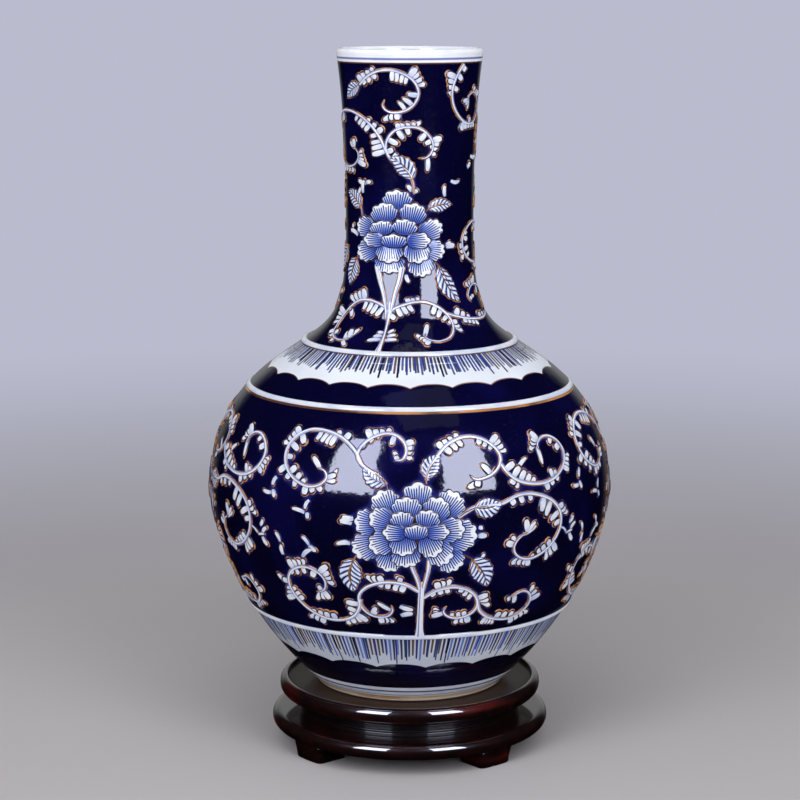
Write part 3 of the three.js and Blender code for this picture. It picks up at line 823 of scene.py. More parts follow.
stalk_paint = stalk_enamel()
make_pads("belly_trunk", *trail(BELLY_TRUNK, [5.4, 3.9, 3.5, 3.4, 3.3, 3.3, 3.3, 2.3], 1.5), stem_paint)
make_pads("belly_trunk_arms", *trail(BELLY_ARMS, [2.7, 2.5, 2.3, 2.2, 1.9], 1.45), stem_paint)
make_pads("neck_trunk", *trail(NECK_TRUNK, [3.9, 2.6, 1.9, 1.8, 2.0, 2.6, 3.6], 1.4), stem_paint)
make_pads("neck_trunk_arms", *trail(NECK_ARMS, [3.3, 2.9, 2.4, 2.1, 1.7], 1.4), stem_paint)
make_pads("belly_stalks", *trail(BELLY_STALKS, [0.9, 0.8, 0.7, 0.4], 1.5), stalk_paint)
make_pads("neck_stalks", *trail(NECK_STALKS, [0.8, 0.75, 0.65, 0.4], 1.45), stalk_paint)

# %% [markdown]
# ## Flowers
#
# Petals overlap like roof tiles, the middle ones on top, so each petal has a layer that says how high it
# starts. A petal is a disk: rings of points round its centre, with an outline that is an ellipse cut by
# scallops along its outer half, a domed top, and sides that go down under the glaze. The brush strokes
# fan out from the petal's base, and each stops at its own length.

# %% Petals
# Turn, rise, half-width, half-length, heading in degrees from up, number of scallops, layer.
BELLY_PETALS = [
    (2.2, 228, 13.8, 12.2, 0, 3, 0), (-6.6, 222, 13.5, 12, -25, 4, 0), (11, 220, 14.4, 12.5, 35, 5, 0),
    (-11.9, 205, 12.5, 10.5, -85, 4, 0), (-12, 184, 13.6, 13.4, -112, 5, 0),
    (-5.7, 171.5, 12.4, 10.5, -165, 4, 0), (11.4, 171.5, 13.4, 11.4, 150, 5, 0),
    (14.2, 193.5, 15.2, 14.4, 97, 5, 0), (-0.8, 218.5, 13.6, 9.6, 0, 4, 1),
    (7.2, 216.5, 12.8, 11.4, 22, 4, 1), (-7.7, 208, 11.8, 11.2, -70, 4, 1),
    (-7.7, 187.8, 11.8, 12, -110, 4, 1), (-1, 175.5, 13.8, 10, 180, 5, 1),
    (8, 179.5, 13.4, 13.6, 142, 5, 1), (11.2, 198.8, 11.8, 12.6, 88, 4, 1), (-2.1, 208, 11, 8.4, -6, 4, 2),
    (4.8, 208.5, 11.6, 9, 14, 4, 2), (-1.8, 186.4, 12.6, 10.4, 182, 4, 2),
    (5.6, 185.6, 11.8, 11.6, 158, 4, 2), (-4.1, 197.2, 8.4, 10.8, -88, 3, 3),
    (7.5, 197.6, 8.0, 10.8, 90, 3, 3), (1.7, 198.2, 11.4, 7.4, 0, 3, 4),
]
NECK_PETALS = [
    (-11, 504.5, 14.2, 9.6, 0, 4, 0), (-43, 480, 10.8, 10.8, -78, 5, 0), (-40.5, 460, 11, 13, -108, 5, 0),
    (-18, 449, 15.2, 9.2, 180, 5, 0), (10, 447.5, 12.8, 10.6, 172, 5, 0), (22, 461, 10.6, 11.2, 102, 5, 0),
    (19, 478, 10.8, 12.6, 62, 5, 0), (-23, 493, 13.8, 9.8, -10, 4, 1), (3, 493, 12.8, 10.2, 12, 4, 1),
    (-25, 480, 12.8, 7.4, -8, 4, 2), (-4, 481.3, 11.8, 8.2, 8, 4, 2), (-18, 458.4, 13.4, 9.8, 181, 4, 2),
    (6.5, 459.4, 12.6, 10.8, 171, 4, 2), (-32, 469.6, 7.8, 11.4, -90, 3, 3),
    (7.7, 469.6, 8.4, 11.2, 90, 3, 3), (-13.5, 469.4, 12.6, 7.0, 0, 3, 4),
]
PETAL_RINGS = np.array([0.03, 0.3, 0.55, 0.76, 0.9, 0.965, 1.0])
PETAL_SIDES = 56
LAYER = 0.55
STROKE_PITCH = 2.55


def petals(rows):
    """Outline (w r sin a, l r cos a), r = 1 - 0.17 (1 - |cos n a|) over the outer half, a from the tip.

    The top is a layer's height, plus a dome 1 - q^4 over the ring number q, plus a rise towards the tip."""
    table = np.array(rows, float)
    width, length, heading, scallops, layer = [table[:, i, None, None] for i in (2, 3, 4, 5, 6)]
    a = np.linspace(-np.pi, np.pi, PETAL_SIDES, endpoint=False)[None, None, :]
    outer = 0.5 + 0.5 * np.tanh(3 * np.cos(a) + 0.6)
    r = 1 - 0.17 * outer * (1 - np.abs(np.cos(scallops * a)))
    q = PETAL_RINGS[None, :, None]
    x, y = width * r * np.sin(a) * q, length * r * np.cos(a) * q
    tilt = np.radians(heading)
    right, up = x * np.cos(tilt) + y * np.sin(tilt), y * np.cos(tilt) - x * np.sin(tilt)
    rise = table[:, 1, None, None] + up
    turn = table[:, 0, None, None] + right / np.radians(radius_at(rise))
    lift = 0.75 + LAYER * layer + 0.5 * (1 - q**4) + 0.35 * y / length
    lift = np.where(q > 0.99, UNDER, np.where(q > 0.96, lift - 0.3, lift))
    edge = (1 - q) * r * np.hypot(width * np.sin(a), length * np.cos(a))
    behind = y + 2.4 * length
    fan = np.arctan2(x, behind) * 3.4 * length
    reach = (y + length) / (2 * length)
    return np.stack([turn, rise, lift], -1), edge, fan, reach


def petal_faces(count):
    """Quads between the rings, one small face in the middle, and one under each petal."""
    rings = len(PETAL_RINGS)
    i = np.arange(count * rings * PETAL_SIDES).reshape(count, rings, PETAL_SIDES)
    after = np.roll(i, -1, axis=2)
    sides = np.stack([i[:, :-1], after[:, :-1], after[:, 1:], i[:, 1:]], -1)
    return [sides.reshape(-1, 4), i[:, 0, ::-1], i[:, -1]]


def petal_enamel():
    """Blue at the base, white at the edge, with fine dark strokes fanning out, and a brown outline."""
    paint = Paint("petal_enamel", roughness=0.16)
    fan, reach, edge = [paint.number(name) for name in ("fan", "reach", "edge")]
    shade = reach + (paint.noise(55.0) - 0.5) * 0.35
    colour = paint.shade(shade, 0.15, 0.52, (0.085, 0.165, 0.66), (0.42, 0.54, 0.92))
    colour = paint.shade(shade, 0.42, 0.72, colour, (0.88, 0.91, 0.96))
    margin = paint.ramp(edge, 2.6, 1.7) * paint.ramp(reach, 0.40, 0.62)
    colour = paint.mix(margin, colour, (0.86, 0.89, 0.96))
    stroke = fan / STROKE_PITCH
    stop = paint.random(stroke) * 0.20 + 0.74
    slim = 0.42 - reach * 0.17
    dark = paint.ramp(abs(stroke.fraction() - 0.5), slim, slim - 0.10)
    dark = dark * paint.ramp(reach, stop, stop - 0.06) * paint.ramp(edge, 1.6, 2.1)
    colour = paint.mix(dark, colour, (0.008, 0.020, 0.17))
    return fired(paint, outlined(paint, colour, edge, 0.55, 1.05, 0.35))


petal_paint = petal_enamel()


def make_flowers(name, rows, around):
    """Sets the petals of one flower, with their painting numbers, round the wall as one piece."""
    grids, edge, fan, reach = petals(rows)
    full = around(grids)
    raised_work.append(full[..., :2].reshape(-1, 2))
    numbers = {key: np.tile(np.broadcast_to(values, edge.shape).ravel(), len(full) // len(grids))
               for key, values in (("edge", edge), ("fan", fan), ("reach", reach))}
    piece = make_piece(name, pad_points(full), petal_faces(len(full)), "vase", "porcelain", **numbers)
    piece.data.materials.append(petal_paint)


make_flowers("belly_flowers", BELLY_PETALS, round_belly)
make_flowers("neck_flowers", NECK_PETALS, round_neck)

# %% [markdown]
# ## The cobalt pooled round the enamel
#
# On the real vase the blue is brightest close to the white work, as if it glowed. To find how close each
# point of the ground is, every point of the raised work is dropped into the cells of an unrolled map,
# and the map is blurred. A blur is a multiplication in the frequencies of the Fourier transform.

# %% A blurred map of the raised work
CELLS_ROUND, CELLS_UP, GLOW = 1440, 640, 2.0


def blurred(cells, sigma_up, sigma_round):
    """Multiplies frequency f by exp(-2 (pi f sigma)^2), up the wall and then round each row."""
    up = np.exp(-2 * (np.pi * np.fft.fftfreq(CELLS_UP) * sigma_up) ** 2)
    cells = np.fft.ifft(np.fft.fft(cells, axis=0) * up[:, None], axis=0).real
    around = np.exp(-2 * (np.pi * np.fft.rfftfreq(CELLS_ROUND)[None] * sigma_round[:, None]) ** 2)
    return np.fft.irfft(np.fft.rfft(cells, axis=1) * around, CELLS_ROUND, axis=1)


places = np.concatenate(raised_work)
counts, _, _ = np.histogram2d(places[:, 1], places[:, 0] % 360, bins=(CELLS_UP, CELLS_ROUND),
                              range=((0, CELLS_UP), (0, 360)))
per_cell = np.radians(radius_at(np.arange(CELLS_UP) + 0.5)) * 360 / CELLS_ROUND
filled = np.clip(blurred(np.minimum(counts, 1.0), 1.0, 1.0 / per_cell) * 2.2, 0, 1)
glow = blurred(filled, GLOW, GLOW / per_cell)
print(f"{len(places)} points mapped; enamel covers {100 * filled.mean():.0f} % of the wall")


def glow_at(turn, rise):
    """Reads the map between its cells. Above and below the map it holds the last row's value, which is 0."""
    column, row = (turn % 360) * CELLS_ROUND / 360 - 0.5, np.clip(rise, 0, CELLS_UP - 2) - 0.5
    left, low = np.floor(column).astype(int), np.clip(np.floor(row), 0, CELLS_UP - 2).astype(int)
    across, up = column - left, np.clip(row - low, 0, 1)
    corner = [glow[low + i, (left + j) % CELLS_ROUND] for i in (0, 1) for j in (0, 1)]
    lower = corner[0] * (1 - across) + corner[1] * across
    upper = corner[2] * (1 - across) + corner[3] * across
    return lower * (1 - up) + upper * up


# %% [markdown]
# ## The glazed body
#
# The body is turned from a closed profile: the foot, the outer face with its three raised rings, the rim,
# the inner face and the floor. It is made in two pieces that meet inside the ring where the potter luted
# the neck on, which keeps each mesh light enough. A point remembers its rise, because the bands
# are painted by it.

# %% Turned shapes
# Each raised ring of the wall: the rise of its middle, half its width and its height.
RINGS = [(93.2, 2.7, 1.9), (301.5, 2.5, 1.5), (364.0, 2.9, 2.1)]


def lathe_points(profile, sides):
    """Turns (radius, height) rows once round the axis, in metres. Rows on the axis keep a tiny radius."""
    angle = np.linspace(0, 2 * np.pi, sides, endpoint=False)
    radius = np.maximum(profile[:, 0], 0.02)[:, None]
    height = np.broadcast_to(profile[:, 1:2], (len(profile), sides))
    return np.stack([radius * np.sin(angle), -radius * np.cos(angle), height], -1).reshape(-1, 3) * MM


def lathe_faces(rows, sides, closed):
    """Quads between neighbouring rows. A closed profile joins its last row to its first, and an open
    one, whose ends are on the axis, is closed by a small face at each end."""
    i = np.arange(rows * sides).reshape(rows, sides)
    after = np.roll(i, -1, axis=1)
    upper = np.roll(i, -1, axis=0), np.roll(after, -1, axis=0)
    quads = np.stack([i, after, upper[1], upper[0]], -1)
    if closed:
        return [quads.reshape(-1, 4)]
    return [quads[:-1].reshape(-1, 4), i[:1, ::-1], i[-1:]]


def lathe_uv(rows, sides, closed, v):
    """A pair (turn / 360, v) for each corner of each quad, so that a row's last quad ends at 1 and not 0."""
    turn = np.arange(sides + 1) / sides
    rows_used = rows if closed else rows - 1
    next_v = np.roll(v, -1)
    u0, u1 = [np.broadcast_to(t, (rows_used, sides)) for t in (turn[:-1], turn[1:])]
    v0, v1 = [np.broadcast_to(value[:rows_used, None], (rows_used, sides)) for value in (v, next_v)]
    quads = np.stack([np.stack([u0, v0], -1), np.stack([u1, v0], -1), np.stack([u1, v1], -1),
                      np.stack([u0, v1], -1)], 2).reshape(-1, 2)
    if closed:
        return quads
    return np.concatenate([quads, np.repeat([[0.5, v[0]], [0.5, v[-1]]], sides, axis=0)])


def outer_face(rises):
    """(radius, height) at each rise, with a ring's swelling h (1 - x^2)^0.5 where x is within the ring."""
    return beside(rises, sum(height * np.sqrt(np.clip(1 - ((rises - middle) / half) ** 2, 0, 1))
                             for middle, half, height in RINGS))


def rises_between(low, high, pitch):
    """Even steps, with closer ones over each ring."""
    even = np.arange(low, high, pitch)
    for middle, half, _ in RINGS:
        even = even[np.abs(even - middle) > half + 0.3]
    rings = [middle + half * np.sin(np.linspace(-np.pi / 2, np.pi / 2, 11)) for middle, half, _ in RINGS]
    rises = np.sort(np.concatenate([even, [high], *rings]))
    return rises[(rises >= low) & (rises <= high)]


print(len(RINGS), "raised rings on the wall")

# %% The belly and the neck
JOINT = wall_rise[2 * (POINTS - 1)]
THICKNESS, FLOOR_TOP = 6.5, 14.0
INSIDE, UNDERSIDE = 760.0, -20.0


def make_glaze(name, parts, sides, closed, nodes):
    """Turns parts, which are (profile, rise) one after another, into one shell. The inner face has the
    rise INSIDE, which no band but the plain inner one reaches."""
    profile = np.concatenate([part for part, _ in parts]) + np.array([0, SEAT])
    rise = np.concatenate([np.broadcast_to(value, len(part)) for part, value in parts])
    rises = np.repeat(rise, sides)
    halo = glow_at(np.tile(np.arange(sides) * 360 / sides, len(profile)), rises)
    uv = lathe_uv(len(profile), sides, closed, rise * MM)
    piece = make_piece(name, lathe_points(profile, sides), lathe_faces(len(profile), sides, closed), "vase",
                       "porcelain", uv=uv, rise=rises, halo=halo)
    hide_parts(*nodes)
    return piece


under_foot = np.array([[0, 5], [60, 5], [73.2, 5], [74.3, 4.6], [75, 3.6], [75.2, 1.4], [75.9, 0.4], [77, 0],
                       [79.5, 0], [82.2, 0], [83.2, 0.35], [83.9, 1.2], [84.0, 2.0]])
belly_rises = rises_between(2.5, JOINT, 2.1)
belly_inner = beside(np.arange(JOINT, 22, -8.0), -THICKNESS)
fillet = bezier([belly_inner[-1], belly_inner[-1] - (7, 7.4), (70, FLOOR_TOP), (58, FLOOR_TOP)], 9)[1:]
belly = make_glaze("belly_glaze", [
    (under_foot, np.linspace(UNDERSIDE, 2.0, len(under_foot))),
    (outer_face(belly_rises), belly_rises),
    (np.concatenate([belly_inner, fillet, [[30, FLOOR_TOP], [0, FLOOR_TOP]]]), INSIDE),
], 360, False, ("lower_belly_section", "upper_belly_section"))

rim_start = RIM - THICKNESS / 2
neck_rises = rises_between(JOINT, rim_start, 1.9)
rim_angle = np.linspace(0, np.pi, 11)[1:-1]
ahead, outward = wall_step[-1] / np.hypot(*wall_step[-1]), wall_step[-1][::-1] * (1, -1)
rim_centre = outer_face(np.array([rim_start]))[0] - outward * THICKNESS / 2
rim = np.cos(rim_angle)[:, None] * outward + np.sin(rim_angle)[:, None] * ahead
neck = make_glaze("neck_glaze", [
    (outer_face(neck_rises), neck_rises),
    (rim_centre + THICKNESS / 2 * rim, rim_start + THICKNESS / 2 * rim_angle),
    (beside(np.append(np.arange(rim_start, JOINT, -4.0), JOINT), -THICKNESS), INSIDE),
], 288, True, ("lower_neck_section", "upper_neck_section"))

# %% [markdown]
# ## Painting the glaze
#
# The bands are painted by rise, and the strokes by turn. Above the foot and on the shoulder runs a white
# band with a scalloped lower edge. The edge is an arch that repeats, so the turn is folded into one arch
# and the distance from its middle is raised to a power. The strokes hang from the ring above, and each
# has its own random length and colour, by the number of the stroke.


# %% Cobalt glaze, white bands and brush strokes
def arches(turn, count, start, cusp, height):
    """The rise of a scalloped edge of so many arches, cusp + height (1 - |2f - 1|^2.4), where f goes from 0
    to 1 along each arch. There is a cusp at the turn start, in degrees. The 10 keeps f's number positive."""
    along = (turn * count + (10 - start * count / 360)).fraction()
    return (1.0 - abs(along * 2.0 - 1.0) ** 2.4) * height + cusp


def strokes(paint, turn, rise, count, start, top, stop, spread, width, lean):
    """Returns how much stroke there is, and each stroke's own random number.

    There are so many strokes round the wall. They hang from top, end at stop give or take half the spread,
    and lean by up to so many strokes' pitch. width is half a stroke's, as a share of the pitch."""
    place = turn * count + (10 - start * count / 360) + (paint.noise(18.0) - 0.5) * lean
    own = paint.random(place)
    end = own * spread + (stop - spread / 2)
    slim = paint.fade(rise, end, top, width * 0.7, width)
    line = paint.ramp(abs(place.fraction() - 0.5), slim, slim * 0.62)
    return line * paint.ramp(rise, end - 0.6, end + 0.6), (own * 37.0).fraction()


def shaded_strokes(paint, field, turn, rise, pale, fine, long):
    """Lays fine strokes of three colours on the field, pale being the commonest, then long dark ones."""
    amount, own = strokes(paint, turn, rise, **fine)
    colour = paint.shade(own, 0.42, 0.46, pale, (0.085, 0.036, 0.026))
    colour = paint.shade(own, 0.62, 0.66, colour, (0.010, 0.014, 0.06))
    field = paint.mix(amount * 0.95, field, colour)
    amount, own = strokes(paint, turn, rise, **long)
    colour = paint.shade(own, 0.48, 0.52, (0.008, 0.010, 0.035), (0.020, 0.040, 0.20))
    return paint.mix(amount, field, colour)


def cobalt(paint, rise, halo, cloud):
    """Near black, in soft clouds, and blue where it pooled round the enamel. It is bluer higher up."""
    ground = paint.shade(rise, 60.0, 300.0, (0.0014, 0.0011, 0.0080), (0.0010, 0.0008, 0.0150))
    ground = paint.mix(paint.ramp(cloud, 0.45, 0.75) * 0.5, ground, (0.0035, 0.0030, 0.052))
    pooled = paint.shade(rise, 100.0, 330.0, (0.010, 0.013, 0.110), (0.018, 0.022, 0.22))
    colour = paint.shade(halo + (cloud - 0.5) * 0.4, 0.22, 1.0, ground, pooled)
    return paint.mix(paint.ramp(paint.noise(700.0, 1.0), 0.66, 0.74) * 0.35, colour, (0.02, 0.02, 0.09))


def cobalt_glaze():
    """The cobalt, then the two scalloped fields with their strokes, and then the bands, from the foot up."""
    paint = Paint("cobalt_glaze", roughness=0.07, ior=1.62)
    rise, turn, cloud = paint.number("rise"), paint.u, paint.noise(14.0, 3.0)
    colour = cobalt(paint, rise, paint.number("halo"), cloud)

    lower = paint.ramp(rise - arches(turn, 18, 6.5, 52.3, 5.0), -0.35, 0.35) * paint.ramp(rise, 90.4, 90.0)
    low_white = paint.shade(paint.noise(30.0), 0.35, 0.75, (0.62, 0.66, 0.71), (0.54, 0.58, 0.65))
    fine = dict(count=262, start=0.4, top=89, stop=67, spread=12, width=0.40, lean=0.7)
    long = dict(count=96, start=4.4, top=89, stop=64.5, spread=17, width=0.115, lean=0.3)
    low_field = shaded_strokes(paint, low_white, turn, rise, (0.10, 0.17, 0.50), fine, long)
    colour = paint.mix(lower, colour, low_field)

    above = rise - arches(turn, 22, 0.2, 324.0, 4.6)
    upper = paint.ramp(above, -0.3, 0.3) * paint.ramp(rise, 361.6, 361.2)
    high_white = paint.shade(paint.noise(30.0), 0.35, 0.75, (0.88, 0.91, 0.95), (0.82, 0.86, 0.92))
    fine = dict(count=206, start=1.1, top=360.5, stop=343, spread=9, width=0.46, lean=0.5)
    long = dict(count=92, start=4.6, top=360.5, stop=341.5, spread=13, width=0.19, lean=0.3)
    high_field = shaded_strokes(paint, high_white, turn, rise, (0.030, 0.055, 0.23), fine, long)
    colour = paint.mix(upper, colour, high_field)
    edging = paint.shade(cloud, 0.4, 0.6, BROWN, (0.42, 0.20, 0.10))
    colour = paint.mix(paint.between(above, -0.9, 0.15, 0.2) * 0.85, colour, edging)

    uneven = paint.ramp((paint.noise(45.0) - 0.5) * 2.2, -0.3, 0.4)
    thrown_white = paint.mix(uneven, WHITE, (0.68, 0.74, 0.86))
    # painted light: the foot's white is brighter than the other whites, to make up for the shade that falls
    # at the foot under the belly
    foot_white_painted_bright = paint.mix(uneven, (0.95, 0.97, 1.0), (0.80, 0.85, 0.92))
    foot_gold = paint.shade(cloud, 0.4, 0.6, (0.66, 0.33, 0.10), (0.88, 0.64, 0.36))
    worn_gold = paint.shade(cloud, 0.42, 0.58, BROWN, GOLD)
    # painted light: the rim's white is brighter than the other whites, to make up for the little light that
    # reaches the rim's upright wall
    rim_white_painted_bright = paint.mix(uneven, (0.97, 0.98, 0.99), (0.86, 0.89, 0.95))
    # Each band's lower and upper rise, colour, strength and softness.
    bands = [
        (-30.0, 19.6, foot_white_painted_bright, 1.0, 0.25), (11.9, 14.3, (0.012, 0.035, 0.19), 0.95, 0.5),
        (6.2, 7.1, (0.10, 0.15, 0.36), 0.8, 0.3), (1.2, 4.2, foot_gold, 0.95, 0.4),
        (-30.0, 0.6, (0.42, 0.34, 0.26), 1.0, 0.25), (89.7, 90.9, BROWN, 0.9, 0.25),
        (91.0, 95.6, thrown_white, 1.0, 0.25), (297.2, 299.2, worn_gold, 0.95, 0.25),
        (299.2, 303.9, thrown_white, 1.0, 0.25), (360.6, 361.4, BROWN, 0.95, 0.25),
        (361.4, 366.7, thrown_white, 1.0, 0.25), (618.8, 620.0, BROWN, 0.9, 0.25),
        (620.0, 700.0, rim_white_painted_bright, 1.0, 0.25), (622.2, 623.9, (0.03, 0.07, 0.34), 0.85, 0.45),
        (700.0, 900.0, (0.70, 0.74, 0.78), 1.0, 0.25),
    ]
    for low, high, tone, amount, soft in bands:
        colour = paint.mix(paint.between(rise, low, high, soft) * amount, colour, tone)
    waves = paint.noise(9.0, 1.0) * 14.0 + paint.noise(120.0, 2.0) * 1.5
    return paint.finish(colour, waves, 0.00010)


glaze = cobalt_glaze()
for piece in (belly, neck):
    piece.data.materials.append(glaze)

# %% [markdown]
# ## The stand
#
# The stand is turned hardwood under dark red-brown lacquer. Each tier has a bullnosed edge, which is half
# of a stretched circle. The waist between them is left rough by the turning tool, so its fine
# grooves are in its profile.

# %% Stand sizes, and a profile helper
top_low, top_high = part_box("top_ring")[0][2] / MM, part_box("top_ring")[1][2] / MM
base_low, base_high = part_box("base_ring")[0][2] / MM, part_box("base_ring")[1][2] / MM
waist_low, waist_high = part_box("waist_ring")[0][2] / MM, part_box("waist_ring")[1][2] / MM
TOP_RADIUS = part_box("top_ring")[1][0] / MM
BASE_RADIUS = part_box("base_ring")[1][0] / MM
BORE, REBATE, LEDGE, SEAT_FACE = 84.0, 110.3, 50.4, SEAT - 0.3
WAIST_RADIUS = 99


def bullnose(radius, low, high, roundness, power=2.3, steps=23):
    """Half of a stretched circle, |x/a|^p + |y/b|^p = 1, from its lower end to its upper one."""
    a = np.linspace(-np.pi / 2, np.pi / 2, steps)
    x = np.abs(np.cos(a)) ** (2 / power)
    y = np.sign(np.sin(a)) * np.abs(np.sin(a)) ** (2 / power)
    return np.stack([radius - roundness + roundness * x, (low + high) / 2 + (high - low) / 2 * y], -1)


def make_turned(name, parts, material, nodes, closed=True, sides=240):
    """Turns a profile, given as lists of (radius, height) one after another, into a piece of the stand."""
    profile = np.concatenate(parts)
    v = np.concatenate([[0], np.cumsum(np.hypot(*np.diff(profile, axis=0).T))]) * MM
    piece = make_piece(name, lathe_points(profile, sides), lathe_faces(len(profile), sides, closed), "stand",
                       "lacquered_wood", uv=lathe_uv(len(profile), sides, closed, v))
    piece.data.materials.append(material)
    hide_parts(*nodes)


print(f"the base is {2 * BASE_RADIUS:.0f} mm across and the top {2 * TOP_RADIUS:.0f} mm")


# %% Lacquered wood
def lacquer(name, roughness, deep, warm, coat, bump, bump_scale=240.0, red=0.0):
    """Long grain in the wood under the lacquer, seen as slightly redder streaks, and fine brush waves.

    red says how strong the painted glints are: long, thin redder patches round the stand, put in for red
    reflections of light on the lacquer."""
    paint = Paint(name, roughness, ior=1.5)
    grain = paint.noise(2.0, 4.0, stretch=(14.0, 90.0, 90.0))
    colour = paint.shade(grain, 0.38, 0.72, deep, warm)
    # painted reflection: redder patches, long round the stand and thin up it, are red glints of light painted
    # into the lacquer's colour
    patches = paint.noise(1.0, 1.0, stretch=(9.0, 9.0, 60.0))
    colour = paint.mix(paint.ramp(patches, 0.58, 0.74) * red, colour, (0.10, 0.0060, 0.0040))
    for key, value in (("Coat Weight", coat), ("Coat Roughness", 0.03), ("Coat IOR", 2.0),
                       ("Specular IOR Level", 0.2)):
        paint.shader.inputs[key].default_value = value
    return paint.finish(colour, paint.noise(bump_scale, 3.0), bump)


# the glossy tiers and feet carry the painted red glints
gloss = lacquer("lacquered_hardwood", 0.30, (0.0040, 0.0009, 0.0009), (0.014, 0.0022, 0.0016), 1.0, 0.00002,
                red=0.6)
dull = lacquer("seat_lacquer", 0.45, (0.014, 0.0058, 0.0040), (0.030, 0.0125, 0.0085), 0.12, 0.00010)
rough = lacquer("turned_lacquer", 0.35, (0.0030, 0.0009, 0.0009), (0.008, 0.0018, 0.0014), 0.22, 0.00005,
                bump_scale=900.0)

# %% Base, waist, top and seat
base_edge = bullnose(BASE_RADIUS, base_low, base_high, 7.6)
base_flat = BASE_RADIUS - 9
make_turned("base_tier", [np.linspace((BORE, base_low), (base_flat, base_low), 8), base_edge,
                          np.linspace((base_flat, base_high), (BORE, base_high), 8)], gloss, ("base_ring",))

waist_height = np.linspace(waist_low, waist_high, 72)
share = (waist_height - waist_low) / (waist_high - waist_low)
grooves = 0.22 * np.sin(share * 2 * np.pi * 13) * np.sin(share * np.pi)
beads = sum(1.2 * np.sqrt(np.clip(1 - ((share - middle) / 0.082) ** 2, 0, 1)) for middle in (1 / 3, 2 / 3))
waist_face = np.stack([WAIST_RADIUS + grooves * (beads < 0.05) + beads, waist_height], -1)
make_turned("waist_tier", [[(BORE, waist_low)], waist_face, [(BORE, waist_high)]], rough, ("waist_ring",),
            sides=200)

top_edge = bullnose(TOP_RADIUS, top_low, top_high, 6.4)
rebate = [(REBATE + 0.25, top_high), (REBATE, top_high - 0.4), (REBATE, LEDGE + 0.3), (REBATE - 0.4, LEDGE)]
make_turned("top_tier", [np.linspace((BORE, top_low), (TOP_RADIUS - 8, top_low), 8), top_edge[:-1], rebate,
                         np.linspace((REBATE - 6, LEDGE), (BORE, LEDGE), 6)], gloss, ("top_ring",))

seat_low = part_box("seat_panel")[0][2] / MM
seat_edge = [(110, seat_low + 0.5), (110, SEAT_FACE - 0.7), (109.8, SEAT_FACE - 0.2), (109.3, SEAT_FACE)]
make_turned("seat_board", [[(0, seat_low)], np.linspace((40, seat_low), (109.4, seat_low), 5), seat_edge,
                           np.linspace((104, SEAT_FACE), (20, SEAT_FACE), 10), [(0, SEAT_FACE)]],
            dull, ("seat_panel",), closed=False)

# %% [markdown]
# ## The feet
#
# A foot is sawn from a ring, so it curves with the stand, and its sides taper down. It is a stack of
# rounded outlines: each outline is a square with soft corners, which comes from raising sine and
# cosine to a small power, bent round the stand's axis.

# %% Feet
FOOT_AZIMUTHS, FOOT_SIDES, FOOT_HEIGHT = [40, 130, 220, 310], 48, 14
LEVELS = np.array([0, 0, 0.4, 1.2, 3, 5, 7, 9, 11, 12.6, 13.6, 14, 14])
INSETS = np.array([1.4, 0.6, 0.2, 0, 0, 0, 0, 0, 0, 0, 0, 0.2, 1.2])


def foot_points(azimuth):
    """Rows go up. At the share t of the height, half the width is 17 + 2.5 t^2, and the foot goes from radius
    88 to 118 + 2 t. The corners are rounded by sign(sin a)|sin a|^0.24, and the edges by the insets."""
    share = LEVELS / FOOT_HEIGHT
    half_width = 17 + 2.5 * share**2 - INSETS
    outer, inner = 118 + 2 * share - INSETS, 88 + INSETS
    a = np.linspace(0, 2 * np.pi, FOOT_SIDES, endpoint=False)
    across, out = [np.sign(wave) * np.abs(wave) ** 0.24 for wave in (np.cos(a), np.sin(a))]
    radius = (outer + inner)[:, None] / 2 + (outer - inner)[:, None] / 2 * out
    angle = np.radians(azimuth) - np.arcsin(half_width[:, None] * across / radius)
    ring_underside = base_edge[: len(base_edge) // 2]
    height = share[:, None] * np.interp(radius, *ring_underside.T)
    return np.stack([radius * np.cos(angle), radius * np.sin(angle), height], -1).reshape(-1, 3) * MM


for index, azimuth in enumerate(FOOT_AZIMUTHS, start=1):
    foot_piece = make_piece(f"foot_block_{index}", foot_points(azimuth),
                            lathe_faces(len(LEVELS), FOOT_SIDES, False), "stand", "lacquered_wood")
    foot_piece.data.materials.append(gloss)
    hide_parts(f"foot_{index}")

# %% [markdown]
# ## The screws
#
# Four long screws hold the three rings together and two short ones hold each foot. They are inside the
# wood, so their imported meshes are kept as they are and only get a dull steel.


# %% Steel for the screws
def screw_steel():
    """Bare metal, a little darker in patches."""
    paint = Paint("screw_steel", roughness=0.35)
    paint.shader.inputs["Metallic"].default_value = 1.0
    tone = paint.shade(paint.noise(300.0), 0.35, 0.7, (0.30, 0.28, 0.25), (0.48, 0.46, 0.43))
    return paint.finish(tone, paint.noise(900.0), 0.00005)


steel = screw_steel()
for name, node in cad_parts.items():
    if "screw" in name:
        node.data.materials.clear()
        node.data.materials.append(steel)

# %% [markdown]
# ## Light, floor and camera
#
# Two tall softboxes stand in front, left and right, and make the pairs of highlights on the glaze. A third
# light hangs over the vase and evens out the upper whites, and a faint panel up there is seen in the
# shoulder. The floor is plain and pale, so nothing draws the eye from the vase.

# %% Floor
PALE = (0.49, 0.50, 0.62)


def studio_floor():
    """Near the vase a plain matt floor. Further out it turns into an even glow of the backdrop's colour,
    so that the floor has no visible end."""
    paint = Paint("studio_floor", roughness=0.7)
    tone = paint.shade(paint.noise(2.0), 0.3, 0.7, (0.50, 0.465, 0.45), (0.52, 0.485, 0.47))
    length = paint.node("ShaderNodeVectorMath", {"operation": "LENGTH"}, Vector=paint.place)
    far = paint.ramp(length.outputs["Value"], 0.35, 2.4)
    glowing = paint.node("ShaderNodeEmission", Color=(*PALE, 1))
    mixed = paint.node("ShaderNodeMixShader")
    for socket, value in zip(mixed.inputs, (far, paint.shader.outputs[0], glowing.outputs[0])):
        paint.plug(socket, value)
    paint.plug(paint.tree.nodes["Material Output"].inputs["Surface"], mixed.outputs[0])
    return paint.finish(tone)


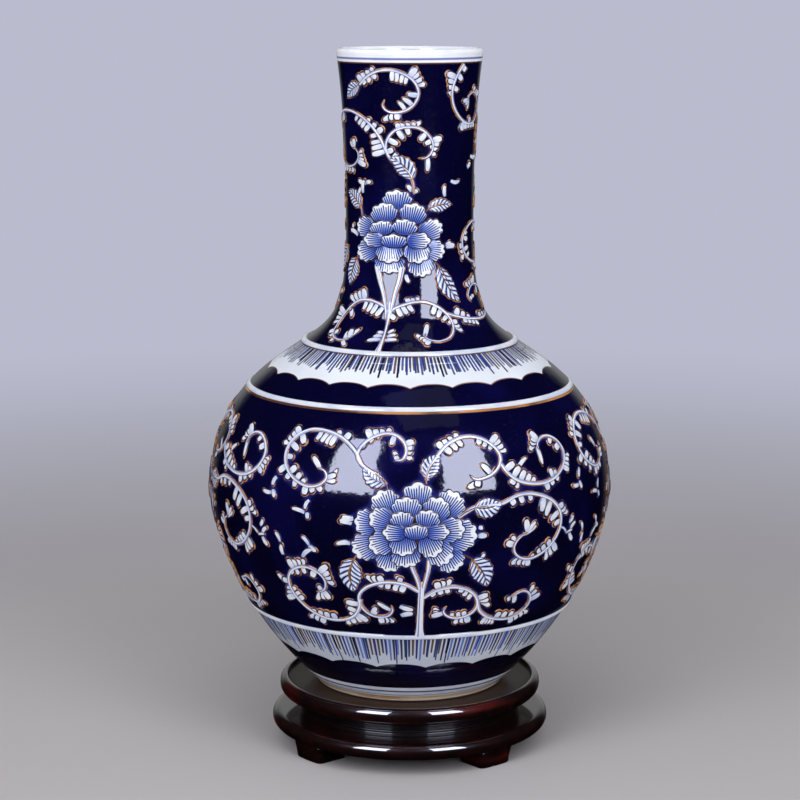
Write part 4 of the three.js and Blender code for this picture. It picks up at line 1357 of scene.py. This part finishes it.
FLOOR_HALF = 9
corners = [(x, y, 0) for x, y in ((-1, -1), (1, -1), (1, 1), (-1, 1))]
floor_mesh = bpy.data.meshes.new("studio_floor")
floor_mesh.from_pydata(np.array(corners) * FLOOR_HALF, [], [(0, 1, 2, 3)])
floor_mesh.materials.append(studio_floor())
floor = bpy.data.objects.new("studio_floor", floor_mesh)
floor.visible_glossy = False
bpy.context.scene.collection.objects.link(floor)


# %% Softboxes
LAMP_COLOURS = {"gloss": (0.745, 0.785, 1.0), "matt": (0.91, 0.925, 1.0)}


def softbox(name, azimuth, distance, low, high, width, watts, shines_on, tilt=0.0):
    """A rectangle that faces the vase's axis, tilted down. azimuth is from the front towards +X.

    One light makes the reflections and another, in the same place, the light on the matt parts, so that
    each has the strength it needs."""
    data = bpy.data.lights.new(name, "AREA")
    data.shape = "RECTANGLE"
    data.size, data.size_y, data.energy = width, high - low, watts
    data.color = LAMP_COLOURS[shines_on]
    light = bpy.data.objects.new(name, data)
    turn = np.radians(azimuth)
    light.location = (distance * np.sin(turn), -distance * np.cos(turn), (low + high) / 2)
    light.rotation_euler = (np.pi / 2 - np.radians(tilt), 0, turn)
    light.visible_diffuse, light.visible_glossy = shines_on == "matt", shines_on == "gloss"
    bpy.context.scene.collection.objects.link(light)
    print(f"{name}: {watts} W")


for side, azimuth in (("left", -32.3), ("right", 32.3)):
    softbox(f"softbox_{side}", azimuth, 1.5, 0.40, 1.80, 0.73, 38, "gloss")
    softbox(f"fill_{side}", azimuth, 1.5, 0.40, 1.80, 0.73, 17, "matt")
softbox("panel_above", 20.0, 0.55, 1.40, 2.40, 0.85, 0.5, "gloss", tilt=78.0)
softbox("fill_above", 0.0, 0.75, 1.05, 1.65, 0.8, 5.4, "matt", tilt=50.0)

# %% [markdown]
# ## The world
#
# What the glaze mirrors decides how deep it looks. One even world would veil it, so there are three: the
# camera sees the pale backdrop, matt surfaces get a soft ambient light, and the glaze sees the dark room
# in front of the vase and a lighter backdrop behind it, which only shows at its edges.

# %% World
AMBIENT = (0.42, 0.43, 0.46)
world = bpy.data.worlds.new("studio")
bpy.context.scene.world = world
world.use_nodes = True
sky = Nodes(world.node_tree, "Generated")
_, back, up = sky.parts(sky.place)
backdrop = sky.ramp(back, 0.80, 1.0) * 0.414 + 0.006
mirrored = backdrop * sky.fade(up, -0.25, 0.10, 0.12, 1.0)
path = sky.node("ShaderNodeLightPath").outputs
unseen = sky.mix(path["Is Glossy Ray"], AMBIENT, mirrored)
sky.plug(world.node_tree.nodes["Background"].inputs["Color"], sky.mix(path["Is Camera Ray"], unseen, PALE))
print(f"the world has {len(world.node_tree.nodes)} nodes")

# %% [markdown]
# ## The camera
#
# It stands two metres off, a little higher than the mouth, and looks down by ten degrees, so the stand's
# top and the far side of the rim both show. From there a long lens fills the picture with the vase.

# %% Camera
camera_data = bpy.data.cameras.new("camera")
camera = bpy.data.objects.new("camera", camera_data)
camera.location = (0, -2.035, 0.674)
camera.rotation_euler = (np.radians(90 - 10.25), 0, 0)
camera_data.lens, camera_data.sensor_width = 104.985, 36
camera_data.shift_x, camera_data.shift_y = -0.0121, 0.00225
bpy.context.scene.collection.objects.link(camera)
bpy.context.scene.camera = camera
bpy.context.scene.view_settings.view_transform = "Standard"
print(f"the camera has a {camera_data.lens:.0f} mm lens")

# %% [markdown]
# ## Pieces
#
# The pieces that were made, and their faces, are counted.

# %% Count the pieces and finish
print("pieces:", len(made), "faces:", sum(len(piece.data.polygons) for piece in made))
